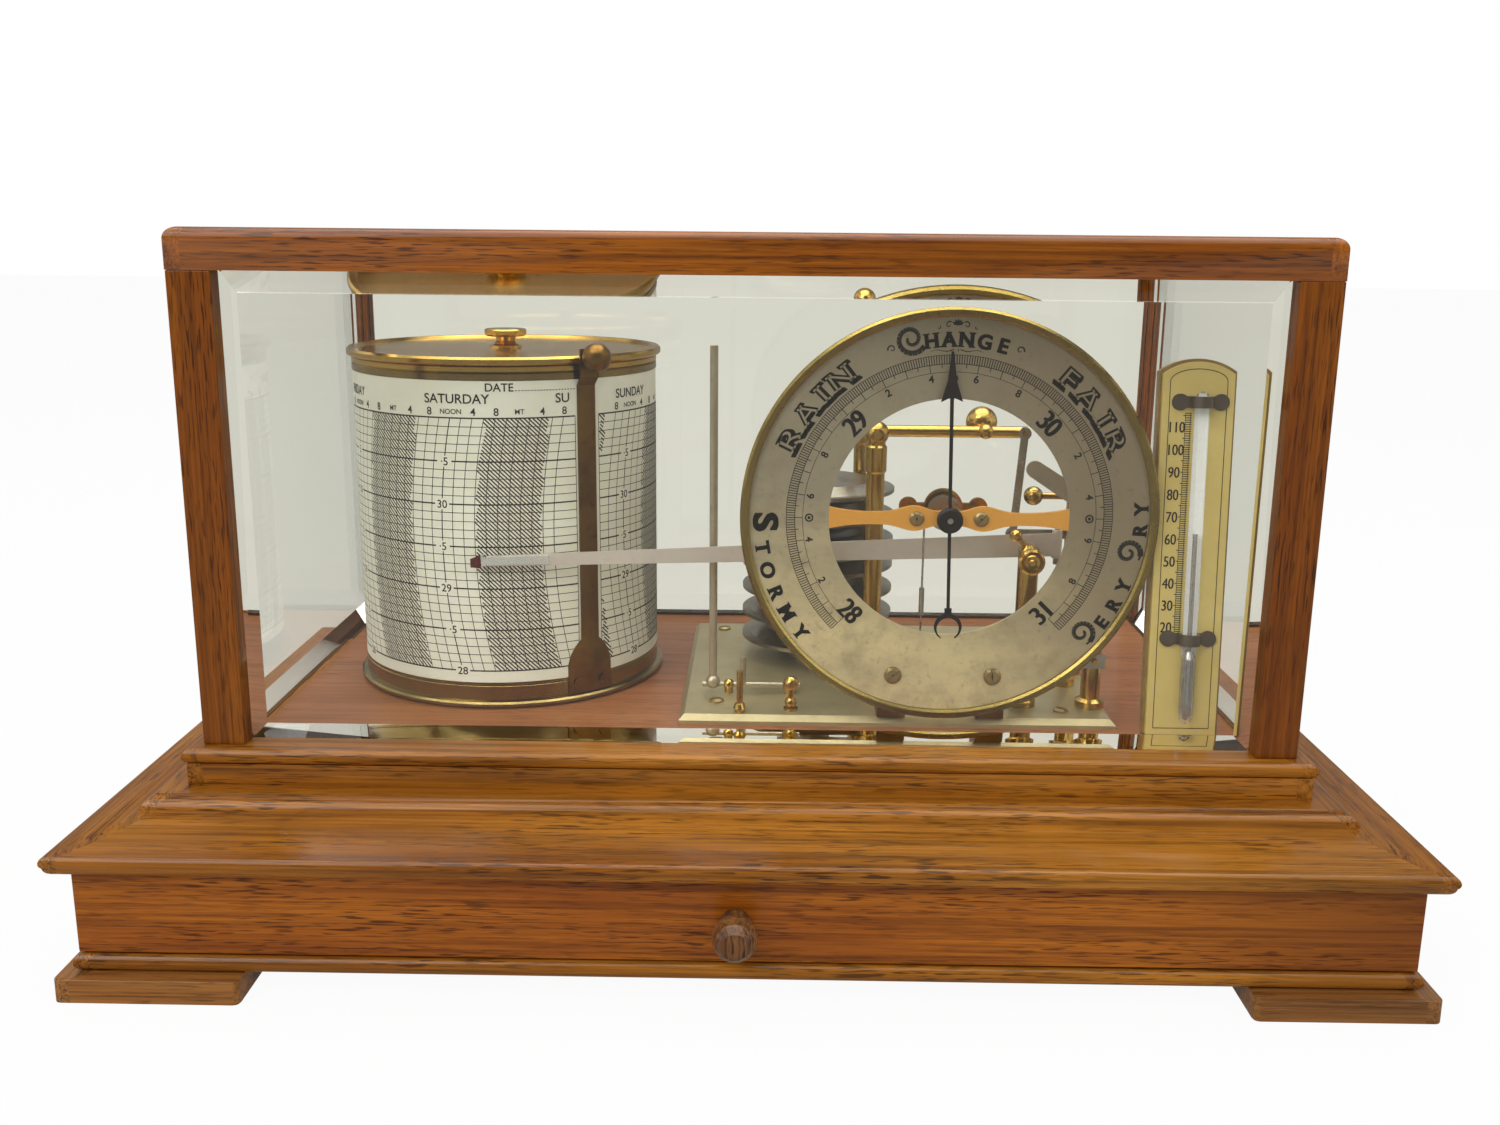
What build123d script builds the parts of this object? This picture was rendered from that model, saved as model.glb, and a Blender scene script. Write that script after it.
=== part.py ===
from build123d import *
import os
from math import atan2, cos, degrees, hypot, pi, radians, sin, tan

# Barograph in a glazed wooden case, millimetres, +Z up, front towards -Y.
# Origin: centre of the base, at the level that the feet stand on.

# ---------------------------------------------------------------- driving dimensions
hood_width = 300.0            # over the corner posts
hood_depth = 158.0
foot_height = 6.9
bead_height = 4.8
frieze_height = 24.1
cornice_height = 14.6
hood_rail_height = 10.4       # bottom rail of the hood
post_length = 128.0
top_rail_height = 10.8
post_size = 11.5
top_rail_width = 12.0
cornice_reach = 31.9          # outward from the face of the posts
frieze_reach = 26.55
bead_reach = 27.85
cornice_inset = 20.75         # inner edge of the cornice, inward from the posts
hood_rail_reach = 4.6
hood_rail_inset = 10.25
platform_inset = 10.75
platform_thickness = 10.0
wall_thickness = 8.0
bead_width = 14.0
foot_length = 49.0
foot_undercut = 4.0
foot_reach = 31.9

pane_thickness = 6.0
pane_edge = 1.45              # glass left at the outer edge of the bevel
bevel_width = 7.0
pane_grip = 1.3               # glass held behind the wood
pane_setback = 2.5            # outer face of the glass behind the outer face of the wood
top_pane_thickness = 5.0
glazing_gap = 0.2
ledge = 4.0                   # ledge under the top pane
ledge_drop = 5.2

drawer_front_thickness = 9.0
drawer_gap = 0.4
drawer_side_thickness = 5.0
drawer_bottom_thickness = 3.0
drawer_side_height = 19.0
drawer_back_gap = 10.1        # drawer to back wall
runner_width = 5.0
runner_height = 8.0
drawer_knob_radius = 6.0
drawer_knob_length = 13.9

drum_inset = 71.5             # axis, from the left face of the hood
drum_radius = 46.8            # brass wall under the chart
drum_wall = 0.8
chart_thickness = 0.2
flange_width = 2.0
flange_height = 3.6           # floor of the drum
band_height = 7.5             # bare brass below the chart
rim_bead = 0.4
rim_bead_height = 2.1
drum_lift = 0.4               # running gap under the drum
drum_height = 99.2            # flange to rim, without the lid
lid_overhang = 1.8
lid_height = 4.6
lid_skirt = 4.0
lid_knob_radius = 6.5
lid_knob_height = 5.8
spindle_radius = 3.0
running_gap = 0.05
sun_teeth, pinion_teeth = 48, 8
gear_module = 2 / 3
gear_width = 2.0
clock_height = 52.0
clock_radius = 40.0
barrel_height = 24.0
clip_angle = 39.0             # round the drum from the front, towards the dial
clip_width = 5.9
clip_foot_width = 14.8
clip_foot_height = 16.5       # to the narrow end of its flare
clip_shoulder = 8.4           # height of its full width
clip_ball_radius = 4.2

plate_inset = 44.0            # right edge, from the right face of the hood
plate_setback = 24.7          # front edge, from the front face of the hood
plate_length, plate_depth = 126.6, 101.0
plate_thickness = 2.8
plate_bevel = 1.6
plate_screw_radius = 2.2

dial_across = 75.7            # from the left edge of the plate
dial_rise = 59.1              # above the plate
dial_overhang = 1.2           # face of the silvered ring, in front of the plate
dial_radius = 56.4
dial_hole_radius = 33.5
dial_thickness = 1.2
bezel_width = 1.9
bezel_depth = 2.6
bridge_thickness = 1.4
bridge_screw_half = 9.0       # the two bridge screws, from the centre
cock_gap = 11.8               # bridge to rear cock
dial_screw_half = 14.2
dial_screw_drop = 45.7
pulley_radius = 5.1
pulley_width = 2.0
hand_length = 46.5
hand_tail = 30.7
hand_reading = -1.3           # turn of the hand at rest, degrees

fulcrum_across, fulcrum_rise = 57.6, 78.0
stack_across, stack_behind = 41.9, 67.3
stack_radius = 24.6
capsule_count = 7
capsule_pitch = 8.2
capsule_boss = 5.0
stack_base_height = 2.4
stem_radius = 1.6
pillar_radius = 2.85
pillar_head = 3.8
back_pillar_behind = 95.3
beam_behind = 40.3
beam_radius = 1.8
beam_length = 46.5
link_length_x = 45.2          # link pin, from the fulcrum
ball_at = 33.3                # balance ball, from the fulcrum
ball_radius = 4.8

pivot_inset, pivot_rise = 5.0, 46.8
spindle_pin_radius = 1.0
crank_length = 21.0           # spindle to the pin of the main link
hand_crank = 8.0              # spindle to the pin of the hand link
front_post_behind, back_post_behind = 13.5, 46.3
hand_lever_rise = 14.8
arm_behind = 24.8
gate_offset = 10.0            # vertical hinge of the pen arm, from the spindle
pen_beyond, pen_behind, pen_drop = 2.4, 10.5, 4.0
pen_gap = 2.0                 # plane of the pen arm, in front of the drum's wall
arm_thickness = 0.5
arm_root_height, arm_tip_height = 7.0, 3.0
nib_gap = 0.2                 # nib in front of the clip that passes under it

regulator_inset, regulator_behind, regulator_rise = 25.3, 13.8, 44.8
regulator_radius = 3.0
regulator_knob_radius = 3.8
stop_pin_height = 12.5
ball_post_behind = 6.3

lifter_across, lifter_behind, lifter_rise = 9.2, 21.8, 2.5
lifter_rod_radius = 1.2
lifter_rod_length = 102.1
lifter_shaft_radius = 0.8
lifter_shaft_length = 23.4    # rod to the right bearing

thermometer_inset = 26.8      # middle, from the right face of the hood
thermometer_overhang = 4.3    # foot, in front of the movement plate
thermometer_width = 19.8
thermometer_height = 105.6
thermometer_lean = 5.0
thermometer_plate = 1.2
thermometer_back = 2.8
tube_offset = 0.6
tube_radius = 2.0
bulb_height = 20.0
mercury_height = 58.0         # top of the column, above the foot of the plate
lower_clip_height = 28.0

# ---------------------------------------------------------------- levels and places
half_width = hood_width / 2
half_depth = hood_depth / 2
bead_top = foot_height + bead_height
frieze_top = bead_top + frieze_height
hood_seat = frieze_top + cornice_height
post_foot = hood_seat + hood_rail_height
post_head = post_foot + post_length
case_top = post_head + top_rail_height
platform_top = hood_seat + platform_thickness
plate_top = platform_top + plate_thickness
plate_right = half_width - plate_inset
plate_left = plate_right - plate_length
plate_front = -half_depth + plate_setback
plate_back = plate_front + plate_depth
dial_x, dial_z = plate_left + dial_across, plate_top + dial_rise
dial_front = plate_front - dial_overhang
dial_back = dial_front + dial_thickness
bezel_radius = dial_radius + bezel_width
pen_y = plate_front + pen_behind
drum_x, drum_y = drum_inset - half_width, pen_y + pen_gap + drum_radius
flange_radius = drum_radius + flange_width
lid_radius = drum_radius + lid_overhang
fulcrum_x, fulcrum_z = plate_left + fulcrum_across, plate_top + fulcrum_rise
stack_x, stack_y = plate_left + stack_across, plate_front + stack_behind
beam_y = plate_front + beam_behind
front_pillar_y = beam_y - beam_radius - pillar_head - 0.3
back_pillar_y = plate_front + back_pillar_behind
pivot_x, pivot_z = plate_right - pivot_inset, plate_top + pivot_rise
front_post_y, back_post_y = plate_front + front_post_behind, plate_front + back_post_behind
hand_lever_z = plate_top + hand_lever_rise
arm_y = plate_front + arm_behind
pen_x, pen_z = drum_x - pen_beyond, pivot_z - pen_drop
regulator_x, regulator_y = plate_right - regulator_inset, plate_front + regulator_behind
regulator_z = plate_top + regulator_rise
lifter_x, lifter_y = plate_left + lifter_across, plate_front + lifter_behind
lifter_z = plate_top + lifter_rise
lifter_rod_top = lifter_z + lifter_rod_length
lifter_bearing_x = lifter_x + lifter_shaft_length
thermometer_x, thermometer_y = half_width - thermometer_inset, plate_front - thermometer_overhang
drum_foot = platform_top + drum_lift
drum_floor = drum_foot + flange_height
drum_rim = drum_foot + drum_height
stack_top = plate_top + stack_base_height + capsule_count * capsule_pitch
link_x = fulcrum_x + link_length_x
crank_pin_x = pivot_x - crank_length
gate_x = pivot_x - gate_offset
thread_x = dial_x - pulley_radius - 0.6

os.makedirs("parts", exist_ok=True)
parts = {}


# ---------------------------------------------------------------- helpers
def block(x, y, z):
    """Box from its lowest and highest x, y and z."""
    middle = [(side[0] + side[1]) / 2 for side in (x, y, z)]
    size = [side[1] - side[0] for side in (x, y, z)]
    return Pos(*middle) * Box(*size)


def rod(start, end, radius):
    """Round bar between two points."""
    along = Vector(*end) - Vector(*start)
    return Solid.make_cylinder(radius, along.length, Plane(origin=start, z_dir=along))


def turned(*outline):
    """Solid of revolution about Z from (radius, height) points, closed on the axis."""
    points = [(r, 0, h) for r, h in outline]
    face = make_face(Polyline(*points, close=True))
    return revolve(face, Axis.Z, 360)


def ball(centre, radius):
    return Pos(*centre) * Sphere(radius)


def facing(x, y, z):
    """Frame whose Z runs towards the front, for pieces turned on a front-to-back axis."""
    return Pos(x, y, z) * Rot(90, 0, 0)


def flat(points, front, thickness):
    """Plate parallel to the dial from its (x, z) outline, front face at y = front."""
    face = make_face(Polyline(*[(x, front, z) for x, z in points], close=True))
    return extrude(face, thickness, dir=(0, 1, 0))


def group(*shapes):
    return Compound([solid for shape in shapes for solid in shape.solids()])


def rail(section, run, offset, reach):
    """Straight mitred member: a section in (outward, height) along X, outward being -Y."""
    bar = extrude(Pos(0, -offset, 0) * section, run + reach, dir=(1, 0, 0), both=True)
    inner = cornice_inset + 5
    wedge = make_face(
        Polyline(
            (-run - reach, -offset - reach),
            (run + reach, -offset - reach),
            (run - inner, -offset + inner),
            (-run + inner, -offset + inner),
            close=True,
        )
    )
    return bar & extrude(wedge, case_top + 1, dir=(0, 0, 1))


def mitred_frame(section, reach):
    """Front, back, left and right members round the hood's plan."""
    long = rail(section, half_width, half_depth, reach)
    short = rail(section, half_depth, half_width, reach)
    return [long, Rot(0, 0, 180) * long, Rot(0, 0, -90) * short, Rot(0, 0, 90) * short]


def section(*edges):
    return make_face(Wire(edges))


def at(outward, height):
    """Point of a frame section: outward from the post's face, and height."""
    return (0, -outward, height)


def chain(*points):
    """Straight edges through (outward, height) points."""
    return Polyline(*[at(*p) for p in points]).edges()


# ---------------------------------------------------------------- base of the case
def cornice():
    nose = frieze_top + 4.4
    step = hood_seat - 4.0
    lower = chain(
        (-cornice_inset, hood_seat),
        (-cornice_inset, frieze_top),
        (frieze_reach + 1.5, frieze_top),
    )
    cove = ThreePointArc(
        at(frieze_reach + 1.5, frieze_top),
        at(frieze_reach + 4.2, frieze_top + 0.9),
        at(cornice_reach - 0.5, nose - 2.0),
    )
    thumb = ThreePointArc(
        at(cornice_reach - 0.5, nose - 2.0), at(cornice_reach, nose), at(cornice_reach - 1.2, nose + 1.2)
    )
    slope = ThreePointArc(at(cornice_reach - 1.2, nose + 1.2), at(23.0, nose + 3.1), at(14.2, step - 0.4))
    rise = chain((14.2, step - 0.4), (13.2, step))
    ovolo = ThreePointArc(at(13.2, step), at(12.3, step + 2.2), at(10.2, step + 3.0))
    top = chain((10.2, step + 3.0), (9.8, hood_seat), (-cornice_inset, hood_seat))
    face = section(*lower, cove, thumb, slope, *rise, ovolo, *top)
    return group(*mitred_frame(face, cornice_reach + 1))


def bead_frame():
    radius = bead_height / 2
    inner = bead_reach - bead_width
    straight = chain((bead_reach - radius, bead_top), (inner, bead_top), (inner, foot_height))
    under = chain((inner, foot_height), (bead_reach - radius, foot_height))
    nose = ThreePointArc(
        at(bead_reach - radius, foot_height),
        at(bead_reach, foot_height + radius),
        at(bead_reach - radius, bead_top),
    )
    face = section(*straight, *under, nose)
    return group(*mitred_frame(face, bead_reach + 1))


def bracket_foot(x_sign, y_sign):
    corner_x = half_width + foot_reach
    corner_y = half_depth + foot_reach
    slope = foot_reach - bead_reach
    base = Rectangle(foot_length, foot_length)
    top = Pos(-slope / 2 + foot_undercut / 2, slope / 2 - foot_undercut / 2, foot_height) * Rectangle(
        foot_length - slope + foot_undercut, foot_length - slope + foot_undercut
    )
    foot = Pos(corner_x - foot_length / 2, -corner_y + foot_length / 2, 0) * loft([base.face(), top.face()])
    if x_sign < 0:
        foot = mirror(foot, Plane.YZ)
    if y_sign > 0:
        foot = mirror(foot, Plane.XZ)
    return foot


outer_x = half_width + frieze_reach
outer_y = half_depth + frieze_reach
wall_front = -outer_y + drawer_front_thickness + 0.2
parts["cornice"] = cornice()
parts["bead_frame"] = bead_frame()
parts["bracket_feet"] = group(*[bracket_foot(i, j) for i in (-1, 1) for j in (-1, 1)])
parts["case_walls"] = group(
    *[
        block(
            sorted((s * outer_x, s * (outer_x - wall_thickness))),
            (wall_front, outer_y), (bead_top, frieze_top)
        )
        for s in (-1, 1)
    ],
    block(
        (-outer_x + wall_thickness, outer_x - wall_thickness),
        (outer_y - wall_thickness, outer_y),
        (bead_top, frieze_top),
    ),
)
board_x = half_width + bead_reach - bead_width
board_y = half_depth + bead_reach - bead_width
parts["base_board"] = block((-board_x, board_x), (-board_y, board_y), (foot_height, bead_top))
platform_x = half_width - platform_inset
platform_y = half_depth - platform_inset
parts["platform"] = block(
    (-platform_x, platform_x), (-platform_y, platform_y), (hood_seat, platform_top)
)

# ---------------------------------------------------------------- drawer
runner_outer = outer_x - wall_thickness
runner_inner = runner_outer - runner_width
tray_x = runner_inner - 0.3
tray_front = -outer_y + drawer_front_thickness
tray_back = outer_y - wall_thickness - drawer_back_gap
tray_foot = bead_top + 0.3
parts["drawer_runners"] = group(
    *[
        block(
            sorted((s * runner_outer, s * runner_inner)),
            (wall_front, outer_y - wall_thickness),
            (bead_top, bead_top + runner_height),
        )
        for s in (-1, 1)
    ]
)
parts["drawer_front"] = block(
    (-outer_x, outer_x), (-outer_y, tray_front), (bead_top + drawer_gap, frieze_top - drawer_gap)
)
side_top = tray_foot + drawer_side_height
parts["drawer_tray"] = group(
    *[
        block(
            sorted((s * tray_x, s * (tray_x - drawer_side_thickness))),
            (tray_front, tray_back),
            (bead_top + drawer_gap, side_top),
        )
        for s in (-1, 1)
    ],
    block(
        (-tray_x + drawer_side_thickness, tray_x - drawer_side_thickness),
        (tray_back - drawer_side_thickness, tray_back),
        (bead_top + drawer_gap, side_top),
    ),
    block(
        (-tray_x + drawer_side_thickness, tray_x - drawer_side_thickness),
        (tray_front, tray_back - drawer_side_thickness),
        (bead_top + drawer_gap, bead_top + drawer_gap + drawer_bottom_thickness),
    ),
)
knob = turned(
    (0, 0), (4.2, 0), (4.2, 1.0), (3.0, 1.6), (3.0, 3.0), (4.6, 4.2), (drawer_knob_radius - 0.4, 6.2),
    (drawer_knob_radius, 8.4), (drawer_knob_radius - 0.7, 11.0), (3.6, drawer_knob_length - 0.7),
    (0, drawer_knob_length),
)
drawer_middle = (bead_top + frieze_top) / 2
parts["drawer_knob"] = facing(-2.6, -outer_y, drawer_middle - 0.5) * knob


# ---------------------------------------------------------------- hood
def post(x_sign, y_sign):
    lip = pane_setback + pane_thickness - (pane_edge + pane_grip * (pane_thickness - pane_edge) / bevel_width)
    lip -= 0.1
    grip = pane_grip + glazing_gap
    body = block((-post_size, 0), (0, post_size), (post_foot, post_head))
    body -= block((-post_size - 1, -post_size + grip), (lip, post_size + 1), (post_foot - 1, post_head + 1))
    body -= block((-post_size - 1, -lip), (post_size - grip, post_size + 1), (post_foot - 1, post_head + 1))
    placed = Pos(half_width, -half_depth, 0) * body
    if x_sign < 0:
        placed = mirror(placed, Plane.YZ)
    if y_sign > 0:
        placed = mirror(placed, Plane.XZ)
    return placed


def pane(width, height, thickness):
    """Bevelled pane: lying flat, back face at z = 0, bevels upward, centred."""
    flat_part = extrude(Rectangle(width, height), pane_edge)
    upper = loft(
        [
            (Pos(0, 0, pane_edge) * Rectangle(width, height)).face(),
            (Pos(0, 0, thickness) * Rectangle(width - 2 * bevel_width, height - 2 * bevel_width)).face(),
        ]
    )
    return flat_part + upper


pane_bevel_drop = pane_grip * (pane_thickness - pane_edge) / bevel_width
rebate = pane_setback + pane_thickness - pane_edge - pane_bevel_drop - 0.1
sill = post_foot - pane_grip - glazing_gap
head = post_head + pane_grip + glazing_gap
bottom_nose = 2.1
lower_face = chain(
    (-rebate, post_foot), (-rebate, sill), (-hood_rail_inset, sill), (-hood_rail_inset, hood_seat),
    (hood_rail_reach - 1.0, hood_seat), (hood_rail_reach - 1.0, post_foot - 2 * bottom_nose),
    (hood_rail_reach - bottom_nose, post_foot - 2 * bottom_nose),
)
lower_nose = ThreePointArc(
    at(hood_rail_reach - bottom_nose, post_foot - 2 * bottom_nose),
    at(hood_rail_reach, post_foot - bottom_nose),
    at(hood_rail_reach - bottom_nose, post_foot),
)
lower_top = chain((hood_rail_reach - bottom_nose, post_foot), (-rebate, post_foot))
parts["hood_bottom_rails"] = group(
    *mitred_frame(section(*lower_face, lower_nose, *lower_top), hood_rail_reach + 1)
)
parts["hood_posts"] = group(*[post(i, j) for i in (-1, 1) for j in (-1, 1)])
round_top = 3.0
upper_face = chain((0, case_top - round_top), (0, post_head), (-rebate, post_head), (-rebate, head))
upper_inner = chain(
    (-rebate, head), (-top_rail_width, head), (-top_rail_width, case_top - ledge_drop),
    (-top_rail_width + ledge, case_top - ledge_drop),
    (-top_rail_width + ledge, case_top), (-round_top, case_top),
)
upper_round = ThreePointArc(
    at(-round_top, case_top),
    at(-round_top * (1 - sin(pi / 4)), case_top - round_top * (1 - sin(pi / 4))),
    at(0, case_top - round_top),
)
parts["hood_top_rails"] = group(*mitred_frame(section(*upper_face, *upper_inner, upper_round), 1.0))
pane_height = post_length + 2 * pane_grip
pane_middle = post_foot + post_length / 2
front_pane_width = hood_width - 2 * post_size + 2 * pane_grip
side_pane_width = hood_depth - 2 * post_size + 2 * pane_grip
glass_depth = pane_setback + pane_thickness
upright = Rot(90, 0, 0) * pane(front_pane_width, pane_height, pane_thickness)
upright_side = Rot(90, 0, 0) * pane(side_pane_width, pane_height, pane_thickness)
long_pane = Pos(0, -half_depth + glass_depth, pane_middle) * upright
parts["glass_long_panes"] = group(long_pane, Rot(0, 0, 180) * long_pane)
end_pane = Rot(0, 0, 90) * (Pos(0, -half_width + glass_depth, pane_middle) * upright_side)
parts["glass_end_panes"] = group(end_pane, Rot(0, 0, 180) * end_pane)
top_inset = top_rail_width - ledge + glazing_gap
parts["glass_top"] = Pos(0, 0, case_top - ledge_drop) * pane(
    hood_width - 2 * top_inset, hood_depth - 2 * top_inset, top_pane_thickness
)


# ---------------------------------------------------------------- recording drum
def gear(teeth, width, bore_radius, shift):
    """Spur gear of slim teeth, one tooth centred on +X when shift is 0."""
    pitch = gear_module * teeth / 2
    root = pitch - 1.15 * gear_module
    tip = pitch + 0.85 * gear_module
    points = []
    for tooth in range(teeth):
        for radius, part in ((root, -0.25), (tip, -0.11), (tip, 0.11), (root, 0.25)):
            angle = 2 * pi * (tooth + part + shift) / teeth
            points.append((radius * cos(angle), radius * sin(angle)))
    wheel = extrude(make_face(Polyline(*points, close=True)), width)
    if bore_radius:
        wheel -= Cylinder(bore_radius, width * 3)
    return wheel


drum = Pos(drum_x, drum_y, 0)
inner_radius = drum_radius - drum_wall
chart_outer = drum_radius + chart_thickness
chart_foot = drum_foot + band_height
bead_radius = drum_radius + rim_bead
bead_foot = drum_rim - rim_bead_height - 0.1
shell = turned(
    (spindle_radius + running_gap, drum_foot),
    (flange_radius - 0.4, drum_foot), (flange_radius, drum_foot + 0.4),
    (flange_radius, drum_foot + 1.2), (flange_radius - 0.6, drum_foot + 1.7), (chart_outer, drum_foot + 1.9),
    (chart_outer, chart_foot - 1.3), (drum_radius, chart_foot - 1.1), (chart_outer, chart_foot - 0.9),
    (chart_outer, chart_foot - 0.1), (drum_radius, chart_foot - 0.1), (drum_radius, bead_foot + 0.1),
    (bead_radius, bead_foot + 0.2), (bead_radius, drum_rim - 0.3), (bead_radius - 0.3, drum_rim),
    (inner_radius, drum_rim), (inner_radius, drum_floor), (spindle_radius + running_gap, drum_floor),
)
parts["drum_shell"] = drum * shell
parts["drum_chart"] = drum * turned(
    (drum_radius, chart_foot), (chart_outer, chart_foot), (chart_outer, bead_foot), (drum_radius, bead_foot)
)
lid_top = drum_rim + lid_height
skirt_radius = inner_radius - running_gap
parts["drum_lid"] = drum * turned(
    (0, drum_rim), (skirt_radius - 1.0, drum_rim), (skirt_radius - 1.0, drum_rim - lid_skirt),
    (skirt_radius, drum_rim - lid_skirt), (skirt_radius, drum_rim + 0.1), (bead_radius - 0.3, drum_rim + 0.1),
    (bead_radius, drum_rim + 0.4), (bead_radius, drum_rim + rim_bead_height - 0.4),
    (bead_radius - 0.5, drum_rim + rim_bead_height), (lid_radius - 0.5, drum_rim + rim_bead_height + 0.2),
    (lid_radius, drum_rim + rim_bead_height + 0.7), (lid_radius, lid_top - 0.7), (lid_radius - 0.6, lid_top),
    (lid_radius - 2.4, lid_top), (lid_radius - 3.0, lid_top - 0.8), (0, lid_top - 0.8),
)
lid_seat = lid_top - 0.8
parts["lid_knob"] = drum * turned(
    (0, lid_seat), (lid_knob_radius - 1.7, lid_seat), (lid_knob_radius - 1.7, lid_seat + 0.7),
    (lid_knob_radius - 3.0, lid_seat + 1.2), (lid_knob_radius - 3.6, lid_seat + 2.2),
    (lid_knob_radius - 3.4, lid_seat + lid_knob_height - 2.6),
    (lid_knob_radius - 0.6, lid_seat + lid_knob_height - 2.2),
    (lid_knob_radius, lid_seat + lid_knob_height - 1.7), (lid_knob_radius, lid_seat + lid_knob_height - 0.4),
    (lid_knob_radius - 0.4, lid_seat + lid_knob_height),
    (0, lid_seat + lid_knob_height),
)

sun_height = drum_floor + 3.0
sun_pitch = gear_module * sun_teeth / 2
gear_centres = gear_module * (sun_teeth + pinion_teeth) / 2
spindle = turned(
    (0, platform_top), (9.0, platform_top), (9.0, drum_foot - 0.1), (spindle_radius, drum_foot - 0.1),
    (spindle_radius, drum_floor + clock_height + 6), (spindle_radius - 1, drum_floor + clock_height + 7),
    (0, drum_floor + clock_height + 7),
)
sun = Pos(0, 0, sun_height) * gear(sun_teeth, gear_width, 0, 0)
parts["drum_spindle"] = drum * (spindle + sun)

lower_plate = drum_floor + 8.0
upper_plate = drum_floor + clock_height
plate_gauge = 2.0
arbor_radius = 1.0
barrel_place = (0, 21.0)


def clock_disc(z):
    disc = Pos(0, 0, z) * Cylinder(clock_radius, plate_gauge, align=(Align.CENTER, Align.CENTER, Align.MIN))
    disc -= Pos(0, 0, z) * Cylinder(spindle_radius + 1, 3 * plate_gauge)
    disc -= Pos(gear_centres, 0, z) * Cylinder(arbor_radius + running_gap, 3 * plate_gauge)
    return disc


frame = clock_disc(lower_plate) + clock_disc(upper_plate)
for turn in (60, 180, 300):
    x = (clock_radius - 5) * cos(radians(turn))
    y = (clock_radius - 5) * sin(radians(turn))
    frame += rod((x, y, drum_floor), (x, y, upper_plate + 3.0), 2.4)
parts["clock_frame"] = drum * frame
barrel_foot = lower_plate + plate_gauge
barrel = turned(
    (0, barrel_foot), (4.0, barrel_foot), (4.0, barrel_foot + 2), (14.0, barrel_foot + 2),
    (14.0, barrel_foot + barrel_height), (4.0, barrel_foot + barrel_height),
    (4.0, upper_plate), (0, upper_plate),
)
parts["clock_barrel"] = drum * Pos(*barrel_place, 0) * barrel
key_foot = upper_plate + plate_gauge
key = turned(
    (0, key_foot), (3.2, key_foot), (3.2, key_foot + 1.0),
    (2.0, key_foot + 1.0), (2.0, key_foot + 12), (0, key_foot + 12)
)
key += block((-9, 9), (-0.9, 0.9), (key_foot + 9, key_foot + 19))
parts["winding_key"] = drum * Pos(*barrel_place, 0.15) * key
pinion = Pos(0, 0, sun_height) * gear(pinion_teeth, gear_width, 0, 0.5)
pinion += rod((0, 0, drum_floor + 0.3), (0, 0, upper_plate + plate_gauge + 0.5), arbor_radius)
parts["clock_pinion"] = drum * Pos(gear_centres, 0, 0) * pinion


def drum_strip(outline, half_angle):
    """Curved strip that hugs the drum at the clip's angle, from a (radius, height) outline."""
    points = [(r, 0, h) for r, h in outline]
    face = Rot(0, 0, clip_angle - 90 - half_angle) * make_face(Polyline(*points, close=True))
    return revolve(face, Axis.Z, 2 * half_angle)


clip_inner = chart_outer + 0.1
clip_outer = clip_inner + 0.5
clip_foot = drum_foot + 2.2
clip_top = lid_top + 2.0
bend = drum_rim - 4.0
rim_inner = lid_radius + 0.4
rim_outer = rim_inner + 0.6
neck = clip_foot + clip_foot_height
strip = drum_strip(
    (
        (clip_inner, neck), (clip_outer, neck), (clip_outer, bend),
        (rim_outer, bend + 2.5), (rim_outer, clip_top),
        (rim_inner, clip_top), (rim_inner, bend + 2.5), (clip_inner, bend),
    ),
    degrees(clip_width / 2 / clip_inner),
)
foot_half, strip_half = clip_foot_width / 2, clip_width / 2
shoulder = clip_foot + clip_shoulder
flare_half = (foot_half + strip_half) / 2 + 0.8
flare_height = (shoulder + neck) / 2 + 0.5
flare = make_face(
    [
        Polyline(
            (-foot_half, 0, shoulder), (-foot_half, 0, clip_foot),
            (foot_half, 0, clip_foot), (foot_half, 0, shoulder),
        ),
        ThreePointArc((foot_half, 0, shoulder), (flare_half, 0, flare_height), (strip_half, 0, neck)),
        Line((strip_half, 0, neck), (-strip_half, 0, neck)),
        ThreePointArc((-strip_half, 0, neck), (-flare_half, 0, flare_height), (-foot_half, 0, shoulder)),
    ]
)
foot_skin = turned(
    (chart_outer, clip_foot), (clip_outer, clip_foot), (clip_outer, neck), (clip_inner, neck),
    (clip_inner, chart_foot - 0.3), (chart_outer, chart_foot - 0.3),
)
foot = Rot(0, 0, clip_angle) * extrude(flare, clip_outer + 5, dir=(0, -1, 0)) & foot_skin
clip_direction = radians(clip_angle - 90)
ball_reach = rim_outer + clip_ball_radius - 0.3
clip_ball = ball(
    (ball_reach * cos(clip_direction), ball_reach * sin(clip_direction), clip_top - 2.3), clip_ball_radius
)
clip_screw_radius = 1.5
clip_screw_turn = degrees(foot_half * 0.6 / clip_outer)
clip_screw_depth = 0.3


def clip_screw_seat(side):
    turn = clip_direction + side * radians(clip_screw_turn)
    seat = clip_outer - clip_screw_depth
    return Plane(
        origin=(seat * cos(turn), seat * sin(turn), clip_foot + 3.4), z_dir=(cos(turn), sin(turn), 0)
    )


def clip_screw(side):
    seat = clip_screw_seat(side)
    head = seat * Pos(0, 0, 0.45) * Cylinder(clip_screw_radius, 0.9)
    return head - seat * Pos(0, 0, 0.9) * Box(4, 0.5, 0.6)


seats = [
    clip_screw_seat(side) * Pos(0, 0, 2) * Cylinder(clip_screw_radius + running_gap, 4) for side in (-1, 1)
]
parts["chart_clip"] = drum * group(strip + (foot - seats) + clip_ball)
parts["clip_screws"] = drum * group(clip_screw(-1), clip_screw(1))

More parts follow.
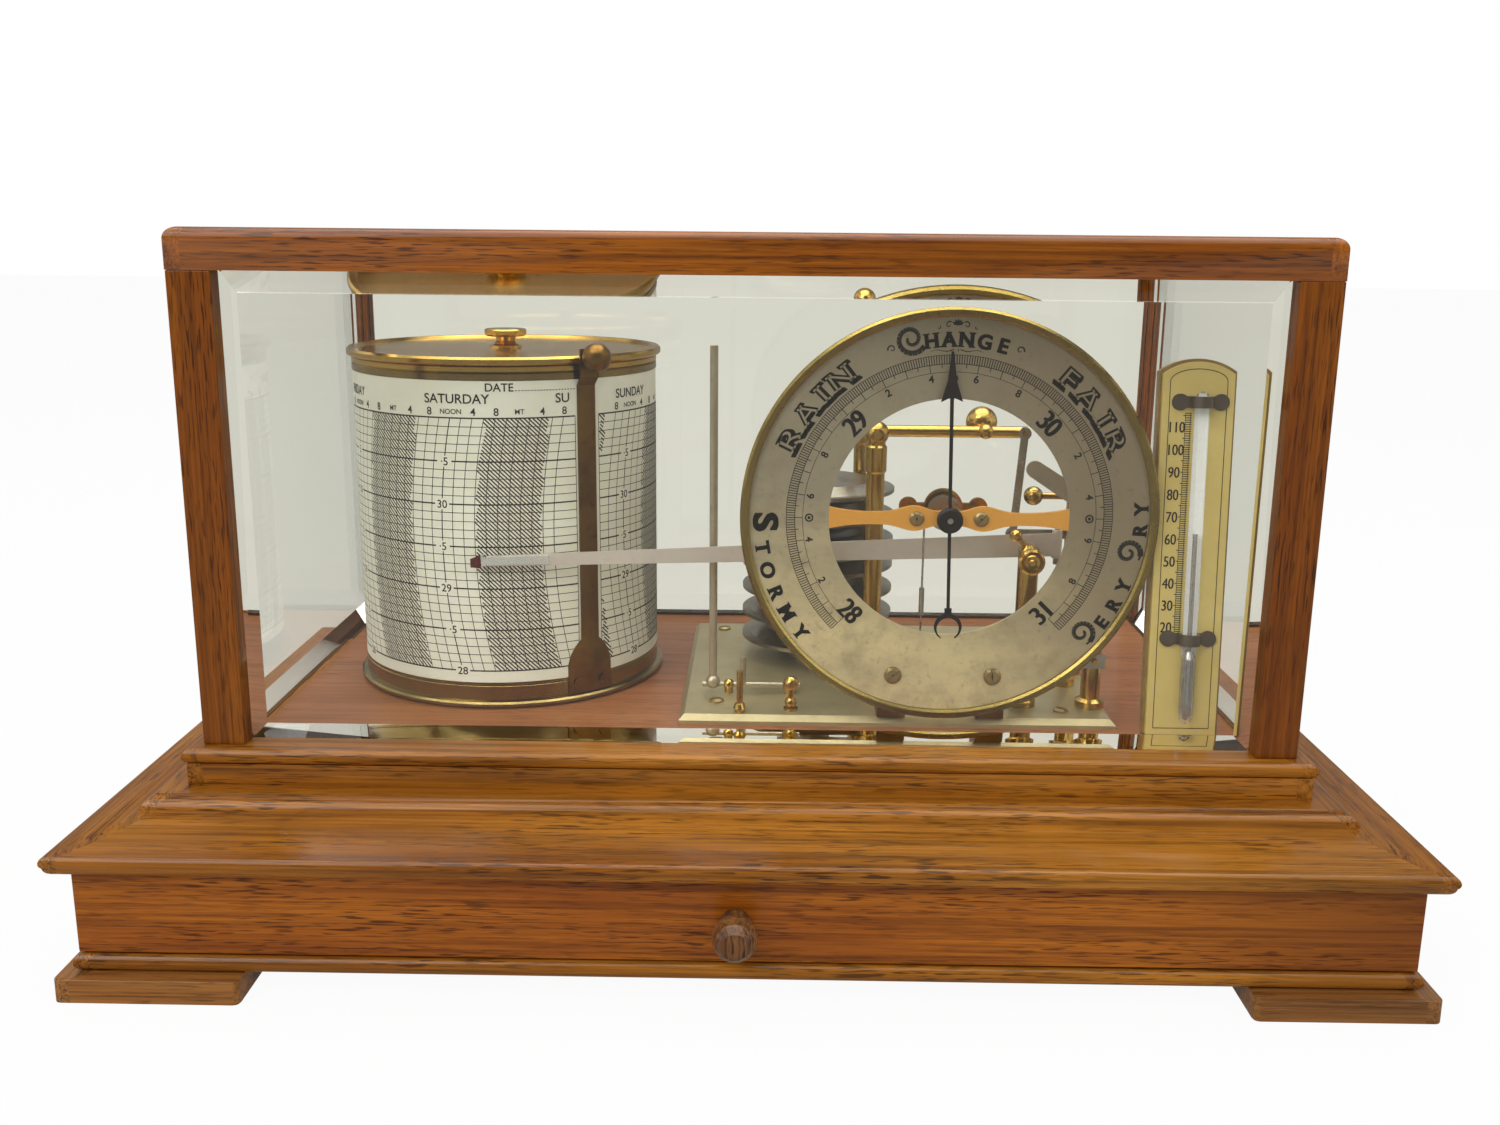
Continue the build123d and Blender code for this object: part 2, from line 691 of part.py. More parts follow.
# ---------------------------------------------------------------- movement plate
base_plate = block((plate_left, plate_right), (plate_front, plate_back), (platform_top, plate_top))
parts["movement_plate"] = chamfer(base_plate.faces().sort_by(Axis.Z)[-1].edges(), plate_bevel)
screw = turned(
    (0, 0), (plate_screw_radius, 0), (plate_screw_radius, 0.5), (plate_screw_radius * 0.6, 0.9), (0, 0.9)
) - Pos(0, 0, 0.9) * Box(2 * plate_screw_radius + 1, 0.5, 0.8)
screw_places = [
    (plate_left + 10.6, plate_front + 13.3, 20), (plate_left + 10.6, plate_back - 8.7, 20),
    (plate_right - 13.0, plate_back - 8.7, 123), (plate_right - 14.5, plate_front + 8.3, 121.5),
]
plate_screws = [Pos(x, y, plate_top) * Rot(0, 0, turn) * screw for x, y, turn in screw_places]


# ---------------------------------------------------------------- aneroid stack and main lever
def capsule_outline(z):
    """One side view of a capsule, from its lower boss to its upper boss."""
    middle = z + capsule_pitch / 2
    return [
        (capsule_boss, z), (capsule_boss, z + 0.9),
        (capsule_boss + 4.5, middle - 2.5), (stack_radius - 7.5, middle - 2.9),
        (stack_radius - 2.5, middle - 0.6), (stack_radius, middle - 0.6), (stack_radius, middle + 0.6),
        (stack_radius - 2.5, middle + 0.6), (stack_radius - 7.5, middle + 2.9),
        (capsule_boss + 4.5, middle + 2.5),
        (capsule_boss, z + capsule_pitch - 0.9),
    ]


stack_outline = [
    (0, plate_top), (stack_radius - 12, plate_top), (stack_radius - 12, plate_top + stack_base_height)
]
for number in range(capsule_count):
    stack_outline += capsule_outline(plate_top + stack_base_height + number * capsule_pitch)
stem_bore = stem_radius + running_gap
stem_grip = 5.5
stem_travel = 2.2
stack_outline += [
    (capsule_boss, stack_top), (stem_bore, stack_top), (stem_bore, stack_top - stem_grip - stem_travel),
    (0, stack_top - stem_grip - stem_travel),
]
parts["capsule_stack"] = Pos(stack_x, stack_y, 0) * turned(*stack_outline)
stem_top = fulcrum_z - 6.0
parts["stack_stem"] = Pos(stack_x, stack_y, 0) * turned(
    (0, stack_top - stem_grip), (stem_radius, stack_top - stem_grip), (stem_radius, stack_top + stem_travel),
    (3.4, stack_top + stem_travel), (3.4, stack_top + stem_travel + 1.4),
    (stem_radius, stack_top + stem_travel + 2.0), (stem_radius, stem_top), (0, stem_top),
)


def lever_pillar(y):
    body = turned(
        (0, plate_top), (pillar_radius + 1.6, plate_top), (pillar_radius + 1.6, plate_top + 2.2),
        (pillar_radius, plate_top + 3.0), (pillar_radius, fulcrum_z - 12),
        (pillar_radius + 0.5, fulcrum_z - 11.4),
        (pillar_radius + 0.5, fulcrum_z - 4), (pillar_radius, fulcrum_z - 3.4),
        (pillar_radius, fulcrum_z), (0, fulcrum_z),
    ) + ball((0, 0, fulcrum_z), pillar_head)
    bore = rod((0, -9, fulcrum_z), (0, 9, fulcrum_z), 1.2 + running_gap)
    return Pos(fulcrum_x, y, 0) * (body - bore)


parts["lever_pillars"] = group(lever_pillar(front_pillar_y), lever_pillar(back_pillar_y))
lever = rod((fulcrum_x, front_pillar_y - 4.5, fulcrum_z), (fulcrum_x, back_pillar_y + 4.0, fulcrum_z), 1.2)
lever += rod((fulcrum_x, beam_y - 1.1, fulcrum_z), (fulcrum_x, beam_y + 3.0, fulcrum_z), 3.2)
lever += rod((fulcrum_x, beam_y, fulcrum_z), (fulcrum_x + beam_length, beam_y, fulcrum_z), beam_radius)
lever += rod((link_x, beam_y - 3.6, fulcrum_z), (link_x, beam_y, fulcrum_z), 0.7)
lever += rod((fulcrum_x, stack_y - 3.0, fulcrum_z), (fulcrum_x, stack_y + 3.0, fulcrum_z), 3.2)
lever += block((stack_x - 2.6, fulcrum_x), (stack_y - 1.8, stack_y + 1.8), (fulcrum_z - 1.5, fulcrum_z + 1.5))
foot_radius = 1.3
lever += ball((stack_x, stack_y, stem_top + 0.1 + foot_radius), foot_radius)
lever += rod(
    (stack_x, stack_y, stem_top + 0.1 + foot_radius), (stack_x, stack_y, fulcrum_z + 4.0), foot_radius
)
lever_ball_x = fulcrum_x + ball_at
lever += ball((lever_ball_x, beam_y + 6.6, fulcrum_z + 2.2), ball_radius)
lever += rod((lever_ball_x, beam_y - 2.6, fulcrum_z), (lever_ball_x, beam_y + 4.0, fulcrum_z), 1.0)
lever += ball((lever_ball_x, beam_y - 3.0, fulcrum_z + 0.5), 2.3)
parts["main_lever"] = lever

link_front = beam_y - 3.0
link_tilt = atan2(link_x - crank_pin_x, fulcrum_z - pivot_z)
link_span = hypot(link_x - crank_pin_x, fulcrum_z - pivot_z)
link_gauge = 0.8
eye_radius = 1.5
strap = block((-1.15, 1.15), (0, link_gauge), (-link_span + eye_radius, 0))
strap += rod((0, 0, 0), (0, link_gauge, 0), 1.9)
strap += rod((0, 0, -link_span), (0, link_gauge, -link_span), eye_radius + 0.7)
strap -= rod((0, -1, 0), (0, 2, 0), 0.7 + running_gap)
strap -= rod((0, -1, -link_span), (0, 2, -link_span), eye_radius)
parts["lever_link"] = Pos(link_x, link_front, fulcrum_z) * Rot(0, degrees(link_tilt), 0) * strap


# ---------------------------------------------------------------- pen spindle, pen arm and pen
def spindle_post(y):
    body = turned(
        (0, plate_top), (pillar_radius + 1.4, plate_top), (pillar_radius + 1.4, plate_top + 2.0),
        (pillar_radius, plate_top + 2.8), (pillar_radius, pivot_z + 3.2),
        (pillar_radius - 1.0, pivot_z + 4.4), (0, pivot_z + 4.4),
    )
    bore = rod((0, -9, pivot_z), (0, 9, pivot_z), spindle_pin_radius + running_gap)
    return Pos(pivot_x, y, 0) * (body - bore)


lever_pin_radius = 0.9
front_post = spindle_post(front_post_y)
front_post += rod(
    (pivot_x, front_post_y, hand_lever_z),
    (pivot_x, front_post_y - pillar_radius - 2.3, hand_lever_z), lever_pin_radius
)
parts["spindle_posts"] = group(front_post, spindle_post(back_post_y))

hand_crank_y = front_post_y - pillar_radius - 2.2
crank_y = beam_y - 1.9
carrier = rod(
    (pivot_x, hand_crank_y - 1.0, pivot_z), (pivot_x, back_post_y + 3.6, pivot_z), spindle_pin_radius
)
carrier += rod((pivot_x, arm_y - 2.0, pivot_z), (pivot_x, arm_y + 2.0, pivot_z), 2.2)
carrier += block((gate_x - 0.8, pivot_x), (arm_y - 0.6, arm_y + 0.6), (pivot_z - 6.2, pivot_z - 4.6))
carrier += block((pivot_x - 1.4, pivot_x + 1.4), (arm_y - 0.6, arm_y + 0.6), (pivot_z - 6.2, pivot_z))
carrier += rod((gate_x, arm_y, pivot_z - 6.2), (gate_x, arm_y, pivot_z + 4.6), 0.8)
carrier += block((crank_pin_x - 1.6, pivot_x), (crank_y, crank_y + 0.8), (pivot_z - 1.4, pivot_z + 1.4))
carrier += rod((pivot_x, crank_y - 1.0, pivot_z), (pivot_x, crank_y + 1.8, pivot_z), 2.2)
carrier += rod((crank_pin_x, crank_y - 2.1, pivot_z), (crank_pin_x, crank_y, pivot_z), 0.5)
carrier += block(
    (pivot_x - hand_crank - 1.2, pivot_x), (hand_crank_y, hand_crank_y + 0.8), (pivot_z - 1.1, pivot_z + 1.1)
)
carrier += rod(
    (pivot_x - hand_crank, hand_crank_y, pivot_z), (pivot_x - hand_crank, hand_crank_y + 2.0, pivot_z), 0.6
)
parts["pen_spindle"] = carrier

arm_turn = degrees(atan2(arm_y - pen_y, gate_x - pen_x))
arm_drop = degrees(atan2(pivot_z - pen_z, hypot(gate_x - pen_x, arm_y - pen_y)))
arm_length = hypot(gate_x - pen_x, arm_y - pen_y)
arm_tip = arm_length - 4.0
strip_profile = [
    (0, arm_root_height / 2), (0, -arm_root_height / 2), (-20, -arm_root_height / 2 + 0.1),
    (-arm_tip, -arm_tip_height / 2), (-arm_tip, arm_tip_height / 2), (-20, arm_root_height / 2 - 0.1),
]
arm_strip = flat(strip_profile, -1.45, arm_thickness)
knuckle = rod((0, 0, -4.2), (0, 0, 4.2), 1.5)
arm_place = Pos(gate_x, arm_y, pivot_z) * Rot(0, 0, arm_turn) * Rot(0, -arm_drop, 0)
gate_bore = rod((gate_x, arm_y, pivot_z - 6), (gate_x, arm_y, pivot_z + 6), 0.8 + running_gap)
parts["pen_arm"] = arm_place * arm_strip + Pos(gate_x, arm_y, pivot_z) * knuckle - gate_bore

bracket_length = 18.0
holder = block((-arm_tip - 1.5, -arm_tip + bracket_length), (-1.95, -1.45), (-1.2, 1.2))
holder += block((-arm_tip - 1.5, -arm_tip - 0.9), (-1.95, 0.4), (-1.7, 1.7))
parts["pen_holder"] = arm_place * holder
nib_x = -arm_tip - 3.1
nib_back = drum_y - clip_outer - nib_gap - arm_y - nib_x * sin(radians(arm_turn))
nib_back /= cos(radians(arm_turn))
nib_points = [(-arm_tip - 1.55, 2.0), (-arm_tip - 1.55, -2.0), (-arm_tip - 4.6, -1.6), (-arm_tip - 4.6, 0.9)]
nib_base = make_face(Polyline(*[(x, -1.9, z) for x, z in nib_points], close=True))
nib_tip = make_face(
    Polyline(*[(nib_x + (x - nib_x) * 0.1, nib_back, z * 0.1) for x, z in nib_points], close=True)
)
parts["pen_nib"] = arm_place * loft([nib_base, nib_tip])

# ---------------------------------------------------------------- hand drive
lever_front = hand_crank_y + 1.4
lever_gauge = 0.7
thread_y = lever_front + lever_gauge / 2
reach_left = pivot_x - thread_x
hand_lever = flat(
    [
        (pivot_x + 3.0, hand_lever_z - 2.2), (pivot_x + 3.0, hand_lever_z + 2.2),
        (pivot_x - hand_crank, hand_lever_z + 2.0),
        (thread_x - 1.2, hand_lever_z + 1.0), (thread_x - 1.2, hand_lever_z - 1.0),
        (pivot_x - hand_crank, hand_lever_z - 2.0),
    ],
    lever_front, lever_gauge,
)
hand_lever -= rod(
    (pivot_x, lever_front - 2, hand_lever_z),
    (pivot_x, lever_front + 2, hand_lever_z), lever_pin_radius + running_gap
)
hand_lever += rod(
    (pivot_x - hand_crank, lever_front - 1.3, hand_lever_z),
    (pivot_x - hand_crank, lever_front, hand_lever_z), 0.6
)
hand_lever += rod((thread_x, lever_front - 2.0, hand_lever_z), (thread_x, lever_front, hand_lever_z), 0.5)
parts["hand_lever"] = hand_lever
hand_link_x = pivot_x - hand_crank
hand_link = block(
    (hand_link_x - 1.3, hand_link_x + 1.3),
    (lever_front - 0.55, lever_front - 0.1), (hand_lever_z - 1.6, pivot_z + 1.6)
)
for z in (hand_lever_z, pivot_z):
    hand_link -= rod((hand_link_x, lever_front - 2, z), (hand_link_x, lever_front + 1, z), 0.6 + running_gap)
parts["hand_link"] = hand_link
thread_front = lever_front - 1.4
wire_radius = 0.3
thread = rod(
    (thread_x, thread_front, hand_lever_z + 1.5), (thread_x, thread_front, dial_z + 1.0), wire_radius
)
thread += rod((thread_x, thread_front, hand_lever_z + 14), (thread_x, thread_front, hand_lever_z + 22), 0.75)
loop = extrude(Ellipse(2.9, 1.8), 0.35, both=True) - extrude(Ellipse(2.3, 1.2), 1, both=True)
eye = facing(thread_x, thread_front, hand_lever_z) * loop
parts["hand_thread"] = thread + eye

bridge_back = dial_front + bridge_thickness
cock_front = bridge_back + cock_gap
arbor = rod((dial_x, dial_front - 3.6, dial_z), (dial_x, cock_front + 2.4, dial_z), 0.8)
arbor += rod(
    (dial_x, thread_front - pulley_width / 2, dial_z),
    (dial_x, thread_front + pulley_width / 2, dial_z), pulley_radius - 0.6
)
for side in (-1, 1):
    edge = thread_front + side * (pulley_width / 2 + 0.2)
    arbor += rod((dial_x, edge - 0.2, dial_z), (dial_x, edge + 0.2, dial_z), pulley_radius - 0.1)
parts["hand_arbor"] = arbor


def dial_hand():
    front = dial_front - 2.0
    gauge = 0.5
    x, z = dial_x, dial_z
    head = z + hand_length - 12.5
    outline = [
        (x - 0.45, z - hand_tail + 5.2), (x - 0.5, head), (x - 3.0, head - 1.2),
        (x - 1.2, head + 4.6), (x - 0.3, z + hand_length),
        (x + 0.3, z + hand_length), (x + 1.2, head + 4.6), (x + 3.0, head - 1.2),
        (x + 0.5, head), (x + 0.45, z - hand_tail + 5.2),
    ]
    blade = flat(outline, front, gauge)
    ring = facing(x, front + gauge / 2, z - hand_tail) * (
        Cylinder(3.9, gauge) - Pos(0, -0.55, 0) * Cylinder(3.15, 3)
    )
    ring -= block((x - 1.9, x + 1.9), (front - 1, front + 2), (z - hand_tail - 6, z - hand_tail))
    ring += block((x - 1.0, x + 1.0), (front, front + gauge), (z - hand_tail + 3.2, z - hand_tail + 5.4))
    hub = facing(x, front + gauge, z) * turned(
        (0, 0), (3.6, 0), (3.6, 1.4), (3.0, 2.0), (1.2, 2.0), (1.2, 1.6), (0, 1.6)
    )
    bore = rod((x, front - 5, z), (x, front + 3, z), 0.8)
    return Pos(x, 0, z) * Rot(0, hand_reading, 0) * Pos(-x, 0, -z) * (blade + ring + hub - bore)


parts["dial_hand"] = dial_hand()

# ---------------------------------------------------------------- dial
ring = facing(dial_x, dial_front + dial_thickness / 2, dial_z) * (
    Cylinder(dial_radius, dial_thickness) - Cylinder(dial_hole_radius, 4 * dial_thickness)
)
dial_screws_z = dial_z - dial_screw_drop
for side in (-1, 1):
    x = dial_x + side * dial_screw_half
    ring -= rod((x, dial_front - 3, dial_screws_z), (x, dial_front + 3, dial_screws_z), 1.2)
parts["dial_ring"] = ring
bezel_seat = 0.7
parts["dial_bezel"] = facing(dial_x, dial_back, dial_z) * turned(
    (dial_radius, 0), (bezel_radius - 0.4, 0), (bezel_radius, 0.5), (bezel_radius, bezel_depth - 0.8),
    (bezel_radius - 0.7, bezel_depth), (dial_radius, bezel_depth),
    (dial_radius - bezel_seat, bezel_depth - 0.5),
    (dial_radius - bezel_seat, dial_thickness), (dial_radius, dial_thickness),
)


def bridge():
    """Waisted bar across the opening of the dial."""
    end = dial_hole_radius - 0.02
    upper = Spline(
        (0, 0, 3.3), (3.6, 0, 2.1), (bridge_screw_half, 0, 3.5),
        (15.5, 0, 2.2), (21.5, 0, 1.75), (28, 0, 2.1), (end, 0, 3.1)
    )
    half = [upper, mirror(upper, Plane.XY)]
    cap = Line((end, 0, 3.1), (end, 0, -3.1))
    middle = Line((0, 0, 3.3), (0, 0, -3.3))
    face = make_face([*half, cap, middle])
    right = extrude(face, bridge_thickness, dir=(0, 1, 0))
    bar = right + mirror(right, Plane.YZ)
    bar = Pos(dial_x, dial_front, dial_z) * bar
    bar &= rod((dial_x, dial_front - 1, dial_z), (dial_x, dial_front + 3, dial_z), dial_hole_radius)
    bar -= rod((dial_x, dial_front - 1, dial_z), (dial_x, dial_front + 3, dial_z), 0.8 + running_gap)
    for side in (-1, 1):
        x = dial_x + side * bridge_screw_half
        bar -= rod((x, dial_front - 1, dial_z), (x, dial_front + 3, dial_z), 1.0)
    return bar


parts["dial_bridge"] = bridge()


def arbor_cock():
    """Rear bearing of the hand's arbor: a humped plate on two pillars behind the bridge."""
    gauge = 1.4
    hump = rod((dial_x, cock_front, dial_z + 0.6), (dial_x, cock_front + gauge, dial_z + 0.6), 5.6)
    hump += block(
        (dial_x - 10.5, dial_x + 10.5), (cock_front, cock_front + gauge), (dial_z - 2.4, dial_z + 2.0)
    )
    for side in (-1, 1):
        x = dial_x + side * (bridge_screw_half + 1.0)
        hump += rod((x, cock_front, dial_z + 0.9), (x, cock_front + gauge, dial_z + 0.9), 2.7)
        x = dial_x + side * bridge_screw_half
        hump += rod((x, bridge_back, dial_z), (x, cock_front, dial_z), 1.9)
    return hump - rod((dial_x, cock_front - 1, dial_z), (dial_x, cock_front + 3, dial_z), 0.8 + running_gap)


parts["arbor_cock"] = arbor_cock()


def slotted(x, front, z, radius, turn):
    head = facing(x, front, z) * turned((0, 0), (radius, 0), (radius, 0.5), (radius * 0.7, 0.9), (0, 0.9))
    slot = facing(x, front, z) * Pos(0, 0, 0.9) * Rot(0, 0, turn) * Box(3 * radius, 0.5, 0.7)
    return head - slot


parts["movement_screws"] = group(
    *plate_screws,
    slotted(dial_x - bridge_screw_half, dial_front, dial_z, 2.1, 118),
    slotted(dial_x + bridge_screw_half, dial_front, dial_z, 2.1, 40),
    slotted(dial_x - dial_screw_half, dial_front, dial_screws_z, 2.5, 40),
    slotted(dial_x + dial_screw_half, dial_front, dial_screws_z, 2.5, 100),
)


def dial_foot(side):
    x = dial_x + side * dial_screw_half
    leg = block((x - 4, x + 4), (dial_back, dial_back + 2), (plate_top + 0.2, dial_screws_z + 4))
    toe = block(
        (x - 4, x + 4), (plate_front + plate_bevel, plate_front + plate_bevel + 9), (plate_top, plate_top + 2)
    )
    heel = block((x - 4, x + 4), (dial_back, plate_front + plate_bevel + 1), (plate_top + 0.2, plate_top + 2))
    return leg + toe + heel


parts["dial_feet"] = group(dial_foot(-1), dial_foot(1))

# ---------------------------------------------------------------- regulator
stand = turned(
    (0, plate_top), (regulator_radius + 1.2, plate_top), (regulator_radius + 1.2, plate_top + 1.8),
    (regulator_radius, plate_top + 2.6), (regulator_radius, regulator_z + 2.6),
    (regulator_radius - 1.2, regulator_z + 4.0),
    (0, regulator_z + 4.0),
)
stand = Pos(regulator_x, regulator_y, 0) * stand
stand -= rod(
    (regulator_x, regulator_y - 6, regulator_z),
    (regulator_x, regulator_y + 6, regulator_z), 1.2 + running_gap
)
pin_x = regulator_x - 4.0
stand += rod((regulator_x, regulator_y, regulator_z + 2.9), (pin_x, regulator_y, regulator_z + 6.6), 0.8)
stand += ball((pin_x, regulator_y, regulator_z + 6.6), 1.8)
knob_front = regulator_y - regulator_radius - 0.3
knob_body = turned(
    (0, 0), (2.6, 0), (3.0, 0.8), (regulator_knob_radius, 1.4), (regulator_knob_radius, 2.6),
    (regulator_knob_radius - 0.6, 3.2), (regulator_knob_radius - 1.1, 2.7),
    (regulator_knob_radius - 1.7, 3.6),
    (1.2, 3.4), (0.8, 4.0), (0, 4.0),
)
parts["regulator_knob"] = facing(regulator_x, knob_front, regulator_z) * knob_body + rod(
    (regulator_x, knob_front - 1, regulator_z), (regulator_x, regulator_y + 5, regulator_z), 1.2
)
leaf_front, leaf_gauge = arm_y + 6.0, 1.0
leaf_head_x, leaf_head_z, leaf_head = pivot_x - 16.4, pivot_z + 21.3, 2.6
leaf_end_x, leaf_end_z = pivot_x - 3.4, pivot_z + 9.6
leaf = flat(
    [
        (leaf_head_x + 1.4, leaf_head_z + 2.2), (leaf_end_x, leaf_end_z + 6.7), (leaf_end_x, leaf_end_z),
        (leaf_head_x - 1.4, leaf_head_z - 2.2),
    ],
    leaf_front, leaf_gauge,
)
leaf += rod(
    (leaf_head_x, leaf_front, leaf_head_z), (leaf_head_x, leaf_front + leaf_gauge, leaf_head_z), leaf_head
)
parts["leaf_spring"] = leaf
leaf_stand_radius = 2.1
leaf_stand_x, leaf_stand_y = pivot_x - 3.7, leaf_front + leaf_gauge + leaf_stand_radius
leaf_ball_z = pivot_z + 12.8
leaf_stand = rod(
    (leaf_stand_x, leaf_stand_y, plate_top), (leaf_stand_x, leaf_stand_y, leaf_ball_z + 3), leaf_stand_radius
)
leaf_stand += rod((leaf_stand_x, leaf_stand_y, plate_top), (leaf_stand_x, leaf_stand_y, plate_top + 2.2), 3.6)
leaf_stand += block(
    (leaf_stand_x - leaf_stand_radius, leaf_stand_x + leaf_stand_radius - 0.9),
    (leaf_front + leaf_gauge, leaf_stand_y), (leaf_end_z, leaf_ball_z + 3),
)
leaf_stand += rod((leaf_head_x, leaf_stand_y, leaf_ball_z), (leaf_stand_x, leaf_stand_y, leaf_ball_z), 1.0)
leaf_stand += ball((leaf_head_x + 0.4, leaf_stand_y, leaf_ball_z), 2.9)
parts["regulator_stands"] = group(stand, leaf_stand)

# ---------------------------------------------------------------- pen lifter
shaft = rod(
    (lifter_x - 3.2, lifter_y, lifter_z), (lifter_bearing_x + 3.0, lifter_y, lifter_z), lifter_shaft_radius
)
shaft += ball((lifter_x, lifter_y, lifter_z + 0.9), 2.2)
shaft += rod((lifter_x, lifter_y, lifter_z), (lifter_x, lifter_y, lifter_rod_top), lifter_rod_radius)
shaft += rod((lifter_x + 9.1, lifter_y, lifter_z), (lifter_x + 9.1, lifter_y, lifter_z + 8.6), 0.95)
parts["lifter"] = shaft


def lifter_bearing(x, radius):
    body = ball((x, lifter_y, lifter_z), radius) + rod(
        (x, lifter_y, plate_top), (x, lifter_y, lifter_z), radius * 0.75
    )
    body &= block((x - 9, x + 9), (lifter_y - 9, lifter_y + 9), (plate_top, lifter_z + 9))
    return body - rod(
        (x - 9, lifter_y, lifter_z), (x + 9, lifter_y, lifter_z), lifter_shaft_radius + running_gap
    )


stop_pin = turned(
    (0, plate_top), (1.4, plate_top), (1.9, plate_top + 1.2), (1.4, plate_top + 2.6), (0.95, plate_top + 2.8),
    (0.95, plate_top + stop_pin_height), (0, plate_top + stop_pin_height),
)
ball_post = rod((0, 0, plate_top), (0, 0, plate_top + 8), 0.9)
ball_post += rod((0, 0, plate_top), (0, 0, plate_top + 0.7), 2.1)
ball_post += ball((0, 0, plate_top + 2.4), 1.8) + ball((0, 0, plate_top + 8.0), 2.3)
parts["lifter_bearings"] = group(
    lifter_bearing(lifter_x + 4.8, 1.7),
    lifter_bearing(lifter_bearing_x, 2.4),
    Pos(lifter_x + 8.5, plate_front + 3.8, 0) * stop_pin,
    Pos(lifter_bearing_x, plate_front + ball_post_behind, 0) * ball_post,
)


# ---------------------------------------------------------------- thermometer
def arched(width, height, front, thickness, spring):
    """Upright plate with an arched head: local x across, z up, front face at y = front."""
    half = width / 2
    face = make_face(
        [
            Polyline(
                (-half, front, height - spring), (-half, front, 0),
                (half, front, 0), (half, front, height - spring),
            ),
            ThreePointArc(
                (half, front, height - spring), (0, front, height), (-half, front, height - spring)
            ),
        ]
    )
    return extrude(face, thickness, dir=(0, 1, 0))


upright_place = Pos(thermometer_x, thermometer_y, platform_top + 0.5) * Rot(-thermometer_lean, 0, 0)
scale_plate = arched(thermometer_width, thermometer_height, 0, thermometer_plate, 3.4)
parts["thermometer_plate"] = upright_place * scale_plate
backing = arched(thermometer_width + 1.6, thermometer_height + 0.8, thermometer_plate, thermometer_back, 3.5)
backing -= Rot(thermometer_lean, 0, 0) * block((-20, 20), (-5, 12), (-9, -0.5))
bracket = rod(
    (0, thermometer_plate + thermometer_back - 0.4, 30),
    (0, thermometer_plate + thermometer_back + 5.4, 30), 2.5
)
parts["thermometer_back"] = upright_place * backing
stand_y = thermometer_y + 11.6
prop = turned(
    (0, platform_top), (4.2, platform_top), (4.2, platform_top + 1.4),
    (2.6, platform_top + 2.4), (2.6, platform_top + 33), (0, platform_top + 34)
)
prop = Pos(thermometer_x, stand_y, 0) * prop
arm_to_back = rod(
    (thermometer_x, stand_y, platform_top + 30), (thermometer_x, thermometer_y + 5, platform_top + 30), 1.8
)
prop += arm_to_back - upright_place * block((-20, 20), (-9, thermometer_plate + thermometer_back), (-9, 120))
parts["thermometer_prop"] = prop
tube_low, tube_high = 3.6, thermometer_height - 8.1
tube_mouth = tube_high - tube_radius
glass_tube = turned(
    (0, tube_low), (tube_radius * 0.6, tube_low + 0.6),
    (tube_radius, tube_low + 2.4), (tube_radius, tube_mouth),
    (tube_radius * 0.7, tube_high - 0.6), (0, tube_high),
)
mercury_shape = turned(
    (0, tube_low + 1.4), (tube_radius - 0.8, tube_low + 2.8), (tube_radius - 0.5, tube_low + 5),
    (tube_radius - 0.5, bulb_height + 2.5), (0.45, bulb_height + 5.5),
    (0.45, mercury_height), (0, mercury_height),
)
tube_front = -tube_radius
tube_place = upright_place * Pos(tube_offset, tube_front, 0)
parts["thermometer_tube"] = tube_place * (glass_tube - mercury_shape)
parts["thermometer_mercury"] = tube_place * mercury_shape


def tube_clip(height):
    strap = block((-7.2, 7.2), (-0.7, 0), (-1.6, 1.6))
    strap += Rot(90, 0, 0) * Pos(-5.6, 0, 0.35) * Cylinder(2.3, 0.7)
    strap += Rot(90, 0, 0) * Pos(5.6, 0, 0.35) * Cylinder(2.3, 0.7)
    arch = Pos(0, tube_front, 0) * Cylinder(tube_radius + 0.9, 3.2)
    arch &= block((-9, 9), (-9, 0), (-4, 4))
    strap += arch
    strap -= Pos(0, tube_front, 0) * Cylinder(tube_radius + 0.02, 12)
    strap -= block((-tube_radius - 0.02, tube_radius + 0.02), (tube_front, 1), (-9, 9))
    return Pos(tube_offset, 0, height) * strap


parts["thermometer_clips"] = upright_place * group(tube_clip(lower_clip_height), tube_clip(tube_high - 3.0))

# The knob is the frontmost piece and the cornice the rearmost, so the centre lies between them.
to_centre = Pos(0, (outer_y + drawer_knob_length - half_depth - cornice_reach) / 2, 0)
for name, shape in parts.items():
    export_step(to_centre * shape, f"parts/{name}.step")
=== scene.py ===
from math import cos, hypot, radians, sin, sqrt

import bpy
from mathutils import Matrix, Vector


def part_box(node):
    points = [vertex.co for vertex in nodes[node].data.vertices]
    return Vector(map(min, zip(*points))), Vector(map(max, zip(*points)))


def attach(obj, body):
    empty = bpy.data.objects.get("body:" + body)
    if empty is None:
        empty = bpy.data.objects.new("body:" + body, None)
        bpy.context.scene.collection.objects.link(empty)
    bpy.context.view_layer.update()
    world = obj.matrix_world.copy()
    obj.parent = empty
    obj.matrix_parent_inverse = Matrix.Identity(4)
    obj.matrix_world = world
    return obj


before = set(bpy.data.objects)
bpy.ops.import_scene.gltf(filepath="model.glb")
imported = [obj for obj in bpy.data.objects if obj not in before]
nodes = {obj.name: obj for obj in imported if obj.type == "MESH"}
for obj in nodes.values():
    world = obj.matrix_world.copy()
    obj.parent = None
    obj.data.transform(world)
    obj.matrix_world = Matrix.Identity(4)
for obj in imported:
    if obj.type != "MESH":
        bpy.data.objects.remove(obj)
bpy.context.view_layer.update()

# A barograph dressed for rendering. The frame is in metres; printing is drawn in millimetres and then laid on
# its surface. Every piece made here rides on a body, so that it moves with the joints.

MM = 0.001


